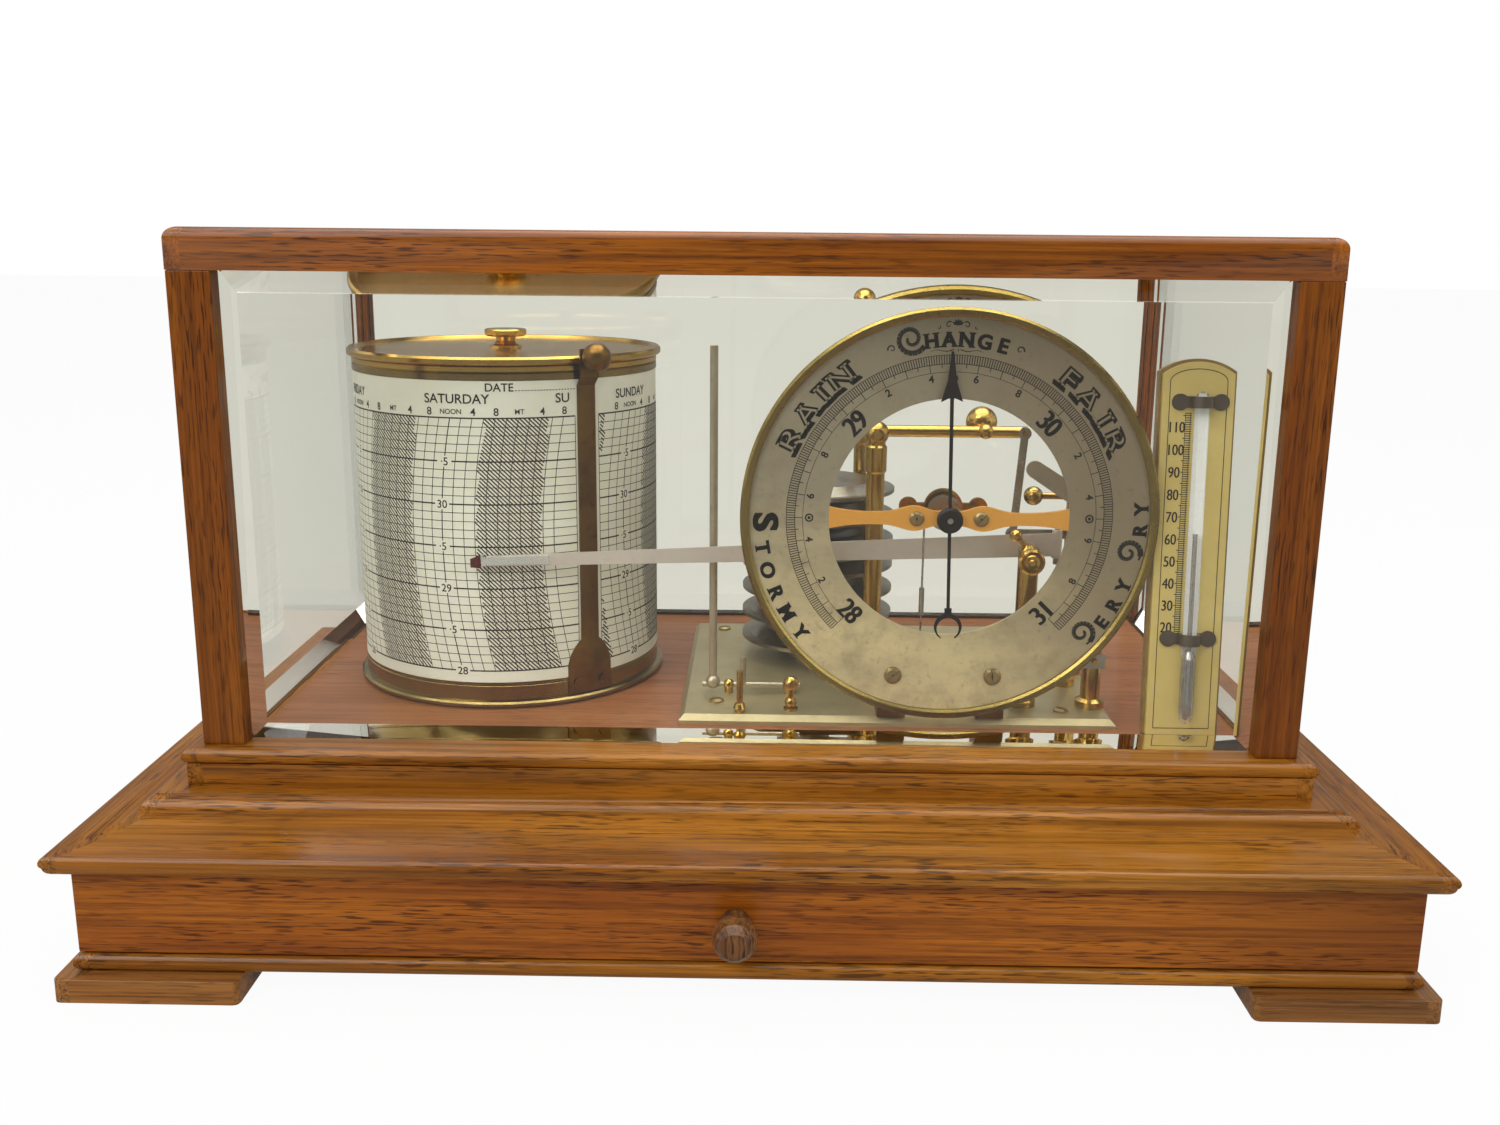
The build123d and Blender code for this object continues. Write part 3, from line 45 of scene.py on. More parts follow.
# ---------------------------------------------------------------- shader helpers
class Shade:
    """Builds the nodes of one material or world."""

    def __init__(self, name, world=False):
        self.owner = (bpy.data.worlds if world else bpy.data.materials).new(name)
        self.owner.use_nodes = True
        self.tree = self.owner.node_tree
        self.tree.nodes.clear()
        self.output = self.tree.nodes.new("ShaderNodeOutputWorld" if world else "ShaderNodeOutputMaterial")

    def add(self, kind, sockets=None, **settings):
        node = self.tree.nodes.new("ShaderNode" + kind)
        for key, value in settings.items():
            setattr(node, key, value)
        for key, value in (sockets or {}).items():
            self.join(value, node.inputs[key])
        return node

    def join(self, value, socket):
        if isinstance(value, bpy.types.NodeSocket):
            self.tree.links.new(value, socket)
        elif socket.type == "RGBA":
            socket.default_value = (*value[:3], 1.0)
        else:
            socket.default_value = value

    def math(self, operation, a, b=0.0):
        return self.add("Math", {0: a, 1: b}, operation=operation).outputs[0]

    def plus(self, a, b):
        return self.math("ADD", a, b)

    def times(self, a, b):
        return self.math("MULTIPLY", a, b)

    def split(self, vector):
        return self.add("SeparateXYZ", {0: vector}).outputs

    def vector(self, x, y, z):
        return self.add("CombineXYZ", {0: x, 1: y, 2: z}).outputs[0]

    def scaled(self, vector, factors):
        return self.add("VectorMath", {0: vector, 1: factors}, operation="MULTIPLY").outputs[0]

    def noise(self, vector, scale, detail=3.0, roughness=0.55):
        sockets = {"Vector": vector, "Scale": scale, "Detail": detail, "Roughness": roughness}
        return self.add("TexNoise", sockets).outputs["Fac"]

    def step(self, value, low, high, top=1.0):
        """0 up to low, rising to top at high."""
        sockets = {"Value": value, "From Min": low, "From Max": high, "To Max": top}
        return self.add("MapRange", sockets, clamp=True).outputs["Result"]

    def mix(self, factor, a, b):
        node = self.add("Mix", data_type="RGBA")
        self.join(factor, node.inputs[0])
        self.join(a, node.inputs[6])
        self.join(b, node.inputs[7])
        return node.outputs[2]

    def stain(self, color, tone, mask, amount):
        """The colour, turned towards a tone by an amount where the mask is on."""
        return self.mix(self.times(mask, amount), color, tone)

    def mix_value(self, factor, a, b):
        node = self.add("Mix", data_type="FLOAT")
        self.join(factor, node.inputs[0])
        self.join(a, node.inputs[2])
        self.join(b, node.inputs[3])
        return node.outputs[0]

    def bump(self, height, strength, distance):
        return self.add("Bump", {"Height": height, "Strength": strength, "Distance": distance}).outputs[0]

    def place(self):
        return self.add("TexCoord").outputs["Object"]

    def surface(self, **sockets):
        names = {"color": "Base Color", "metal": "Metallic", "rough": "Roughness", "normal": "Normal"}
        names.update(coat="Coat Weight", coat_rough="Coat Roughness", glass="Transmission Weight", ior="IOR")
        names.update(specular="Specular IOR Level")
        shader = self.add("BsdfPrincipled", {names[key]: value for key, value in sockets.items()})
        self.tree.links.new(shader.outputs[0], self.output.inputs["Surface"])
        return self.owner


def srgb(*values):
    """Linear colour from 0-255 display values."""
    return tuple((v / 255 / 12.92) if v <= 10 else ((v / 255 + 0.055) / 1.055) ** 2.4 for v in values)


# ---------------------------------------------------------------- materials
def wood(name, dark, middle, light, grain, figure=1.0, gloss=0.4, painted_shade_inside=None, shaded_right_end=0.0):
    """Varnished board timber.

    grain: the axis it runs along, or (half width, half depth) of a frame with mitred corners.
    figure: strength of the grain. A frame's half width and depth, when given, bound a painted shade on the
    inner face of its back rail.
    The right end is darkened by a given amount: painted shade, as light falls from the left.
    """
    s = Shade(name)
    x, y, z = s.split(s.place())
    if isinstance(grain, tuple):
        side_ways = s.math("SUBTRACT", s.math("ABSOLUTE", x), grain[0])
        end_ways = s.math("SUBTRACT", s.math("ABSOLUTE", y), grain[1])
        is_side = s.math("GREATER_THAN", side_ways, end_ways)
        along, across, rest = s.mix_value(is_side, x, y), s.mix_value(is_side, y, x), z
    else:
        along, across, rest = {"x": (x, y, z), "z": (z, x, y)}[grain]
    board = s.vector(along, across, rest)

    def figured(length_ways, cross_ways, detail=3.0, roughness=0.6):
        """Noise with so many cycles to the metre along and across the grain."""
        return s.noise(s.scaled(board, (length_ways, cross_ways, cross_ways)), 1.0, detail, roughness)

    broad = figured(4, 26)
    bands = figured(7, 260, roughness=0.65)
    streaks = s.step(figured(9, 620), 0.5, 0.64)
    fine = figured(26, 1500, 2.0)
    clusters = s.step(figured(14, 110, 2.0, 0.55), 0.36, 0.62)
    pores = s.times(s.step(figured(120, 1700, 1.0, 0.5), 0.54, 0.64), clusters)
    color = s.mix(s.step(broad, 0.36, 0.64), middle, light)
    color = s.stain(color, dark, s.step(bands, 0.45, 0.75), 0.6 * figure)
    color = s.stain(color, dark, streaks, 0.45 * figure)
    color = s.stain(color, dark, s.step(fine, 0.4, 0.7), 0.4 * figure)
    color = s.stain(color, tuple(c * 0.4 for c in dark), pores, 0.75 * figure)
    # Painted shade: the right end is darkened, as light falls from the left.
    if shaded_right_end:
        color = s.stain(color, dark, s.step(x, 0.08, 0.17), shaded_right_end)
    # Painted shade: the inner face of a frame's back rail is darkened where it lies in shadow.
    if painted_shade_inside:
        in_painted_shade = s.math("LESS_THAN", s.math("ABSOLUTE", x), painted_shade_inside[0])
        in_painted_shade = s.times(in_painted_shade, s.math("LESS_THAN", y, painted_shade_inside[1]))
        in_painted_shade = s.times(in_painted_shade, s.math("GREATER_THAN", y, 0.5 * painted_shade_inside[1]))
        color = s.stain(color, tuple(c * 0.25 for c in dark), in_painted_shade, 0.85)
    height = s.plus(s.times(pores, -0.7), s.times(bands, 0.2))
    rough = s.mix_value(bands, 0.34, 0.5)
    normal = s.bump(height, 0.35, 0.0003)
    return s.surface(color=color, rough=rough, normal=normal, coat=gloss, coat_rough=0.11, specular=0.12)


def metal(name, color, stain, rough, brush=0.0, grime=0.35, axis="z", polish=1.0):
    """Metal with clouding and stains by grime, scratches by brush along the axis, bare metal by polish."""
    s = Shade(name)
    place = s.place()
    cloud = s.noise(place, 60, 4.0, 0.6)
    spots = s.step(s.noise(place, 420, 3.0, 0.6), 0.58, 0.75)
    stretch = {"x": (40, 2500, 2500), "z": (2500, 2500, 40)}[axis]
    scratch = s.noise(s.scaled(place, stretch), 1.0, 2.0)
    tone = s.stain(color, stain, s.step(cloud, 0.4, 0.75), grime)
    tone = s.stain(tone, stain, spots, grime * 0.6)
    roughness = s.plus(s.times(cloud, 0.16), rough)
    height = s.plus(s.times(scratch, brush), s.times(cloud, 0.2))
    return s.surface(color=tone, metal=polish, rough=roughness, normal=s.bump(height, 0.12, 0.0002))


def silvering():
    """Worn silver wash, creamy below, darker towards the right, clouded and faintly pitted.
    Grey towards the top, with smears: a painted reflection of the dim room above.
    """
    s = Shade("silvered_brass")
    place = s.place()
    x, y, z = s.split(place)
    smear = s.noise(s.scaled(place, (24, 24, 70)), 1.0, 4.0, 0.6)
    cloud = s.noise(place, 90, 4.0, 0.65)
    pits = s.step(s.noise(place, 520, 3.0, 0.6), 0.6, 0.72)
    # Painted reflection: the wash greys towards the top, where it mirrors the dim room; random smears break
    # it up.
    rise = s.plus(s.step(z, 0.085, 0.15), smear)
    tone = s.mix(s.step(rise, 0.35, 1.2), srgb(228, 208, 156), srgb(152, 141, 116))
    tone = s.stain(tone, srgb(134, 118, 92), s.step(s.plus(x, s.times(z, 0.25)), 0.08, 0.125), 0.8)
    tone = s.stain(tone, srgb(134, 119, 90), s.step(cloud, 0.46, 0.7), 0.5)
    tone = s.stain(tone, srgb(96, 84, 62), pits, 0.25)
    rough = s.mix_value(cloud, 0.34, 0.5)
    return s.surface(color=tone, metal=0.4, rough=rough, normal=s.bump(smear, 0.1, 0.0003))


def paper():
    """Old chart paper, faintly clouded."""
    s = Shade("chart_paper")
    place = s.place()
    fibre = s.noise(place, 1500, 3.0, 0.6)
    cloud = s.noise(place, 30, 3.0)
    color = s.mix(s.step(cloud, 0.3, 0.7), srgb(233, 232, 214), srgb(222, 220, 198))
    color = s.stain(color, srgb(200, 196, 170), fibre, 0.12)
    return s.surface(color=color, rough=s.mix_value(fibre, 0.55, 0.7), normal=s.bump(fibre, 0.1, 0.0001))


def ink(name, color, rough=0.5):
    """Printed or enamelled colour, a little worn."""
    s = Shade(name)
    wear = s.noise(s.place(), 700, 3.0, 0.6)
    worn = tuple(min(1, c * 2.5 + 0.03) for c in color)
    tone = s.stain(color, worn, s.step(wear, 0.45, 0.8), 0.35)
    return s.surface(color=tone, rough=s.mix_value(wear, rough, rough + 0.15), specular=0.3)


def glass(name, tint, rough, ior, clear=1.0):
    """Glass that is clear but for a share of pale body colour."""
    s = Shade(name)
    color = s.stain((1, 1, 1), tint, s.noise(s.place(), 25, 3.0), 0.5)
    return s.surface(color=color, glass=clear, rough=rough, ior=ior)


def ivory(name, light, shade):
    """Aged enamelled scale plate."""
    s = Shade(name)
    speck = s.noise(s.place(), 300, 3.0)
    broad = s.step(s.noise(s.place(), 28, 3.0), 0.3, 0.7)
    tone = s.stain(s.mix(broad, light, shade), shade, s.step(speck, 0.3, 0.75), 0.5)
    return s.surface(color=tone, metal=0.1, rough=s.mix_value(speck, 0.3, 0.42))


OAK_DARK, OAK, OAK_LIGHT = srgb(86, 36, 4), srgb(148, 74, 10), srgb(186, 108, 22)
GOLD_DARK, GOLD, GOLD_LIGHT = srgb(70, 34, 5), srgb(146, 84, 16), srgb(190, 124, 38)
WORN_DARK, WORN, WORN_LIGHT = srgb(80, 44, 16), srgb(156, 98, 40), srgb(190, 136, 76)
DEEP_DARK, DEEP, DEEP_LIGHT = srgb(66, 28, 2), srgb(118, 57, 3), srgb(150, 84, 10)
low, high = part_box("hood_posts")
half_hood = ((high[0] - low[0]) / 2, (high[1] - low[1]) / 2)
# Bounds, 5 mm in from the hood's sides, of the painted shade on the back bottom rail's inner face.
painted_shade_edge = tuple(half - 5 * MM for half in half_hood)
# The darker right ends given below are painted shade, as light falls from the left.
oak_frame = wood("oak_mitred", GOLD_DARK, GOLD, GOLD_LIGHT, half_hood, shaded_right_end=0.2)
oak_foot = wood("oak_worn", WORN_DARK, WORN, WORN_LIGHT, half_hood, shaded_right_end=0.35)
oak_rail = wood("oak_rail_painted_shade", GOLD_DARK, GOLD, GOLD_LIGHT, half_hood, painted_shade_inside=painted_shade_edge)
oak_drawer = wood("oak_long", OAK_DARK, OAK, OAK_LIGHT, "x", shaded_right_end=0.6)
oak_wall = wood("oak_walls", OAK_DARK, OAK, OAK_LIGHT, half_hood, shaded_right_end=0.4)
oak_post = wood("oak_upright", DEEP_DARK, DEEP, DEEP_LIGHT, "z")
oak_top = wood("oak_top_rail", DEEP_DARK, srgb(134, 68, 6), OAK_LIGHT, half_hood)
# Near-black wood for the painted shadow line along the back of the platform.
painted_shadow_bead = wood("painted_shadow_bead", srgb(26, 16, 10), srgb(50, 32, 20), srgb(66, 44, 28), "x", 0.5, 0.1)
knob_wood = wood("turned_knob", srgb(52, 26, 12), srgb(112, 66, 30), srgb(176, 128, 78), "z", 1.3, 0.5)
board_wood = wood("platform_board", srgb(104, 58, 30), srgb(152, 92, 52), srgb(172, 112, 66), "x", 0.6, 0.3)
inner_wood = wood("plain_pine", srgb(150, 108, 66), srgb(186, 146, 98), srgb(204, 170, 122), "x", 0.5, 0.0)
brass = metal("brass_lacquered", srgb(200, 164, 86), srgb(112, 84, 36), 0.12, 0.2)
brass_drum = metal("brass_drum", srgb(148, 128, 80), srgb(82, 68, 40), 0.16, 0.3, 0.5)
brass_bright = metal("brass_golden", srgb(232, 164, 66), srgb(200, 136, 50), 0.3, 0.3, 0.2, polish=0.45)
brass_dark = metal("brass_patinated", srgb(130, 98, 46), srgb(70, 36, 14), 0.24, 0.4, 0.7)
brass_bezel = metal("brass_bezel", srgb(158, 136, 72), srgb(96, 78, 36), 0.18, 0.3, 0.5)
brass_plate = metal("brass_plate", srgb(180, 166, 124), srgb(142, 126, 90), 0.28, 0.5, 0.45, "x", 0.6)
steel = metal("steel_polished", srgb(190, 184, 170), srgb(112, 104, 90), 0.2, 0.5, 0.4)
rod_steel = metal("rod_dull", srgb(190, 178, 152), srgb(118, 106, 86), 0.3, 0.5, 0.5, polish=0.7)
bracket_steel = metal("pen_bracket", srgb(240, 240, 232), srgb(186, 184, 176), 0.12, 0.2, 0.12, polish=0.8)
spring_steel = metal("spring_strip", srgb(190, 178, 154), srgb(134, 122, 100), 0.3, 0.5, 0.4, "x", 0.6)
dark_steel = metal("screw_dark", srgb(100, 88, 74), srgb(52, 44, 36), 0.34, 0.4, 0.5, polish=0.6)
screw_brass = metal("screw_brass", srgb(160, 136, 88), srgb(86, 68, 40), 0.24, 0.4, 0.6, polish=0.7)
blued = metal("steel_blued", srgb(50, 44, 46), srgb(24, 20, 20), 0.34, 0.3)
capsule = metal("capsule_nickel", srgb(150, 144, 130), srgb(76, 68, 56), 0.24, 0.3, 0.5)
aluminium = metal("arm_aluminium", srgb(218, 206, 192), srgb(178, 166, 150), 0.36, 0.6, 0.3, "x", 0.5)
mercury = metal("mercury_column", srgb(176, 172, 164), srgb(90, 86, 80), 0.04)
enamel = ink("white_enamel", srgb(236, 234, 224), 0.3)
nib_red = ink("nib_red", srgb(74, 12, 10), 0.25)
black = ink("printing_black", srgb(36, 31, 28))
# Black of the dial's engraving, also used for the painted shade in the screw slots.
engraving_black_and_shade = ink("engraving_black_and_slot_shade", srgb(26, 20, 14))
pane = glass("pane_glass", (0.94, 0.985, 0.96), 0.0, 1.5)
tube = glass("tube_glass", (0.96, 0.98, 0.98), 0.01, 1.47, 0.94)
chart_paper = paper()
silvered = silvering()
scale_plate = ivory("scale_plate", srgb(222, 200, 124), srgb(200, 176, 100))
scale_backing = ivory("scale_backing", srgb(168, 138, 70), srgb(120, 92, 44))

# Each look with the CAD nodes that wear it.
looks = {
    oak_frame: "cornice bead_frame",
    oak_foot: "bracket_feet",
    oak_top: "hood_top_rails",
    oak_rail: "hood_bottom_rails",
    oak_drawer: "drawer_front",
    knob_wood: "drawer_knob",
    oak_wall: "case_walls",
    oak_post: "hood_posts",
    board_wood: "platform",
    inner_wood: "base_board drawer_tray drawer_runners",
    pane: "glass_long_panes glass_end_panes glass_top",
    tube: "thermometer_tube",
    brass_drum: "drum_shell",
    brass: "drum_lid lid_knob clock_frame clock_barrel lever_pillars spindle_posts regulator_stands "
    "regulator_knob arbor_cock lifter_bearings thermometer_prop clock_pinion main_lever",
    brass_bright: "dial_bridge",
    brass_bezel: "dial_bezel",
    brass_dark: "chart_clip clip_screws dial_feet",
    screw_brass: "movement_screws",
    dark_steel: "thermometer_clips",
    brass_plate: "movement_plate",
    spring_steel: "leaf_spring",
    steel: "lever_link hand_lever hand_link hand_thread hand_arbor pen_spindle drum_spindle winding_key",
    bracket_steel: "pen_holder",
    rod_steel: "lifter",
    blued: "dial_hand",
    silvered: "dial_ring",
    capsule: "capsule_stack stack_stem",
    aluminium: "pen_arm",
    chart_paper: "drum_chart",
    nib_red: "pen_nib",
    mercury: "thermometer_mercury",
    scale_plate: "thermometer_plate",
    scale_backing: "thermometer_back",
}

for look, names in looks.items():
    for name in names.split():
        nodes[name].data.materials.clear()
        nodes[name].data.materials.append(look)

# Softened edges, millimetres. The weld joins the faces of a node, so that the bevel finds their edges.
worn_edges = {
    "cornice": 0.5,
    "bead_frame": 0.5,
    "hood_posts": 0.4,
    "hood_top_rails": 0.4,
    "drawer_front": 0.5,
    "bracket_feet": 1.6,
}
for name, width in worn_edges.items():
    nodes[name].modifiers.new("weld", "WELD").merge_threshold = 0.01 * MM
    worn = nodes[name].modifiers.new("worn_edges", "BEVEL")
    worn.width = width * MM
    worn.segments = 3
    worn.limit_method = "ANGLE"
    worn.angle_limit = radians(50)
    nodes[name].modifiers.new("flat_faces", "WEIGHTED_NORMAL").weight = 100
for name in ("glass_long_panes", "glass_end_panes", "glass_top", "thermometer_tube"):
    nodes[name].visible_shadow = False


# ---------------------------------------------------------------- mesh helpers
def piece(name, points, faces, look, body):
    """A mesh made here, riding on a body."""
    mesh = bpy.data.meshes.new(name)
    mesh.from_pydata([tuple(p) for p in points], [], faces)
    mesh.materials.append(look)
    mesh.update()
    thing = bpy.data.objects.new(name, mesh)
    bpy.context.scene.collection.objects.link(thing)
    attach(thing, body)


FONT_CAPITAL = 0.73  # height of a capital in the built-in font


def turned_about(centre, turn):
    """Mapping that turns a point clockwise by degrees and moves it to the centre."""
    a = -radians(turn)
    return lambda x, y: (centre[0] + x * cos(a) - y * sin(a), centre[1] + x * sin(a) + y * cos(a))


def slab_serifs(corners, reach):
    """Slabs across the narrow stem ends that lie on the foot line and the head line of some letters."""
    bottom, top = min(y for _, y in corners), max(y for _, y in corners)
    for level, inward in ((bottom, 0.07), (top, -0.07)):
        ends = sorted(x for x, y in corners if abs(y - level) < 0.004)
        stems = [[x] for x in ends[:1]]
        for x in ends[1:]:
            if x - stems[-1][-1] < 0.2:
                stems[-1].append(x)
            else:
                stems.append([x])
        for stem in stems:
            if stem[-1] - stem[0] > 0.05 and len(stem) < 5:
                left, right = stem[0] - reach, stem[-1] + reach
                yield [(left, level), (right, level), (right, level + inward), (left, level + inward)]


class Print:
    """Flat artwork of polygons in millimetres. A mapping takes (u, v, out) to a point on a surface."""

    def __init__(self):
        self.points, self.faces = [], []

    def polygon(self, outline):
        start = len(self.points)
        self.points += outline
        self.faces.append(tuple(range(start, start + len(outline))))

    def stroke(self, path, width, end_width=None):
        """A line through the points, of constant width or growing to end_width."""
        grow = ((end_width or width) - width) / max(len(path) - 1, 1)
        for i, (a, b) in enumerate(zip(path, path[1:])):
            length = hypot(b[0] - a[0], b[1] - a[1]) or 1.0
            x, y = (b[1] - a[1]) / length / 2, (a[0] - b[0]) / length / 2
            p, q = width + grow * i, width + grow * (i + 1)
            near = (a[0] + x * p, a[1] + y * p), (a[0] - x * p, a[1] - y * p)
            far = (b[0] + x * q, b[1] + y * q), (b[0] - x * q, b[1] - y * q)
            self.polygon([near[0], far[0], far[1], near[1]])

    def text(
        self,
        words,
        centre,
        height,
        turn=0.0,
        bold=0.0,
        spread=1.0,
        condense=1.0,
        align="CENTER",
        serif=0.0,
        swell=0.0,
    ):
        """Words in the built-in font, turned clockwise by degrees. height: of a capital, millimetres.

        bold widens every line, swell only the upright ones and serif the ends of the stems.
        """
        curve = bpy.data.curves.new("words", "FONT")
        curve.body = words
        curve.align_x = align
        curve.resolution_u = 5
        curve.offset = bold
        curve.space_character = spread
        holder = bpy.data.objects.new("words", curve)
        mesh = bpy.data.meshes.new_from_object(holder)
        k = height / FONT_CAPITAL
        about = turned_about(centre, turn)

        def placed(x, y):
            return about(x * k * condense, (y - FONT_CAPITAL / 2) * k)

        corners = [(vertex.co.x, vertex.co.y) for vertex in mesh.vertices]
        for nudge in (-swell, 0, swell) if swell else (0,):
            start = len(self.points)
            self.points += [placed(x + nudge, y) for x, y in corners]
            for face in mesh.polygons:
                self.faces.append(tuple(start + i for i in face.vertices))
        if serif:
            for slab in slab_serifs(corners, serif):
                self.polygon([placed(x, y) for x, y in slab])
        bpy.data.objects.remove(holder)
        bpy.data.curves.remove(curve)
        bpy.data.meshes.remove(mesh)

    def lay(self, name, mapping, look, body, out=0.05):
        piece(name, [mapping(u, v, out) for u, v in self.points], self.faces, look, body)


# ---------------------------------------------------------------- chart on the drum
low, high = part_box("drum_chart")
drum_centre = ((low[0] + high[0]) / 2, (low[1] + high[1]) / 2)
chart_radius = (high[0] - low[0]) / 2 / MM
chart_low = low[2] / MM


def on_chart(u, v, out):
    """u: millimetres round the drum from its front, towards the dial; v: height above the case's foot."""
    angle = u / chart_radius
    reach = (chart_radius + out) * MM
    return (drum_centre[0] + reach * sin(angle), drum_centre[1] - reach * cos(angle), v * MM)


inch = 25.1  # of pressure
line_28 = chart_low + 3.6
line_31 = line_28 + 3 * inch
day = radians(48.2) * chart_radius
noon_saturday = radians(-14.5) * chart_radius
chart_start = radians(44.4 - 360) * chart_radius  # this end and the next meet under the clip
chart_end = radians(34.6) * chart_radius
pen_radius, pen_height = 169.0, 112.0  # length of the pen's arm, height of its pivot
hatch_pitch, hatch_weight = 1.25, 0.4  # of the slanting lines over each night


def spread_over(start, end, count):
    """Evenly spaced values from start to end."""
    return [start + (end - start) * i / count for i in range(count + 1)]


def time_line(when, z):
    """Place of a time line that starts at `when` at the pen's level and bends towards the pen's pivot."""
    return when + pen_radius - sqrt(pen_radius ** 2 - (z - pen_height) ** 2)


def on_sheet(u):
    return min(max(u, chart_start), chart_end)


chart = Print()
levels = spread_over(line_28, line_31, 14)
for two_hours in range(-78, 14):
    when = noon_saturday + two_hours * day / 12
    path = [(time_line(when, z), z) for z in levels]
    if chart_start < path[7][0] and path[0][0] < chart_end:
        chart.stroke([(on_sheet(u), z) for u, z in path], 0.2 if two_hours % 12 else 0.3)
for u in (chart_start, chart_end):
    chart.stroke([(u, line_28), (u, line_31)], 0.2)
for tenth in range(31):
    z = line_28 + tenth * inch / 10
    chart.stroke([(u, z) for u in spread_over(chart_start, chart_end, 120)], 0.2 if tenth % 5 else 0.42)
for number in range(-7, 2):
    night = noon_saturday + number * day + day / 4
    for k in range(-90, 70):
        path = []
        for z in spread_over(line_31, line_28, 75):
            u = night + k * hatch_pitch + line_31 - z
            if max(time_line(night, z), chart_start) <= u <= min(time_line(night + day / 2, z), chart_end):
                path.append((u, z))
        if len(path) > 1:
            chart.stroke(path[:-1:3] + [path[-1]], hatch_weight)

labels = Print()
grounds = Print()
hour_row, day_row, date_row = line_31 + 1.9, line_31 + 5.6, line_31 + 8.9
days = ["SUNDAY", "MONDAY", "TUESDAY", "WEDNESDAY", "THURSDAY", "FRIDAY", "SATURDAY", "SUNDAY"]
labels.text("SU", (radians(27.2) * chart_radius, day_row), 2.8, bold=0.012, align="LEFT")
for number, title in enumerate(days):
    noon = noon_saturday + (number - 6) * day
    top = time_line(noon, line_31)
    for hour, mark in ((-4, "8"), (0, "NOON"), (4, "4"), (8, "8"), (12, "MT"), (16, "4")):
        u = top + hour * day / 24
        if chart_start < u < chart_end - 2:
            labels.text(mark, (u + 0.3, hour_row), 1.5 if len(mark) > 1 else 2.3, bold=0.012)
    title_start = top - day / 6 - (1.2 if number else 0)
    if chart_start < title_start < chart_end - 8:
        labels.text(title, (title_start, day_row), 2.8, bold=0.012, align="LEFT")
    if time_line(noon, line_28) < chart_end - 4:
        for half, mark in enumerate(("28", "·5", "29", "·5", "30", "·5")):
            z = line_28 + half * inch / 2
            u = time_line(noon, z)
            grounds.stroke([(u + x, z) for x in (-2.2, -1.1, 0, 1.1, 2.2)], 3.2)
            labels.text(mark, (u, z), 2.4, bold=0.012)
date_start = radians(2.6) * chart_radius
labels.text("DATE", (date_start, date_row), 2.4, bold=0.012, align="LEFT")
for i in range(20):
    u = date_start + 8.7 + i * 0.9
    if u < chart_end + 2:
        labels.stroke([(u, date_row - 1.0), (u + 0.4, date_row - 1.0)], 0.32)
chart.lay("chart_lines", on_chart, black, "drum")
grounds.lay("chart_label_grounds", on_chart, chart_paper, "drum", 0.07)
labels.lay("chart_lettering", on_chart, black, "drum", 0.09)

# ---------------------------------------------------------------- dial
low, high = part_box("dial_ring")
dial_centre = ((low[0] + high[0]) / 2, (low[2] + high[2]) / 2)
dial_face = low[1]


def on_dial(u, v, out):
    return (dial_centre[0] + u * MM, dial_face - out * MM, dial_centre[1] + v * MM)


def polar(radius, turn):
    """Dial point at a clockwise angle from the top."""
    return (radius * sin(radians(turn)), radius * cos(radians(turn)))


dial = Print()
letter_faces = Print()
sweep = 134.6  # of the scale to each side of the top, degrees
tilt = -0.4
ring_outer, ring_inner, inner_line = 45.4, 43.0, 40.8


def dial_turn(step):
    """Angle of a scale step of a hundredth of an inch, clockwise from the top."""
    return -sweep + tilt + 2 * sweep * step / 300


def readable(turn):
    """Turn of a numeral that stands on its head below the middle of the dial."""
    return turn + (180 if abs(turn) > 95 else 0)


for radius, width in ((ring_outer, 0.16), (ring_inner, 0.2), (inner_line, 0.14)):
    dial.stroke([polar(radius, turn) for turn in spread_over(dial_turn(0), dial_turn(300), 134)], width)
for step in range(301):
    dial.stroke([polar(ring_inner, dial_turn(step)), polar(ring_outer, dial_turn(step))], 0.24)
    if step % 5 == 0:
        reach = inner_line if step % 10 == 0 else (ring_inner + inner_line) / 2
        dial.stroke([polar(reach, dial_turn(step)), polar(ring_inner, dial_turn(step))], 0.2)
for step in range(2, 30, 2):
    if step % 10:
        turn = dial_turn(10 * step)
        dial.text(str(step % 10), polar(39.3, turn), 2.1, readable(turn), 0.03)
for number, value in enumerate((28, 29, 30, 31)):
    turn = dial_turn(100 * number)
    dial.text(str(value), polar(37.9, turn), 5.8, readable(turn), spread=0.95, condense=0.8, swell=0.045)
for step in (50, 150, 250):  # ringed dots at the half inches
    spot = polar(39.0, dial_turn(step))
    ring = [polar(1.0, 20 * i) for i in range(19)]
    dial.stroke([(spot[0] + x, spot[1] + y) for x, y in ring], 0.45)
    dial.polygon([(spot[0] + 0.45 * x, spot[1] + 0.45 * y) for x, y in ring[:-1]])


def letter(name, turn, radius, height, inward=False, wide=1.0):
    """Engraved letter, with its foot to the rim where inward is set."""
    stance = turn + (180 if inward else 0)
    dial.text(name, polar(radius, turn), height, stance, 0.035, condense=wide, serif=0.09, swell=0.02)


def shaded_letter(name, turn, radius, height, wide):
    """Outlined letter with a pale face and a heavy shade under it."""
    mapping = turned_about(polar(radius, turn), turn)
    for drop in (0.0, 0.25, 0.5, 0.75):
        dial.text(name, mapping(0.5 * drop, -drop), height, turn, 0.045, condense=wide, serif=0.1)
    letter_faces.text(name, mapping(0, 0), height * 0.97, turn, -0.012, condense=wide, serif=0.07)


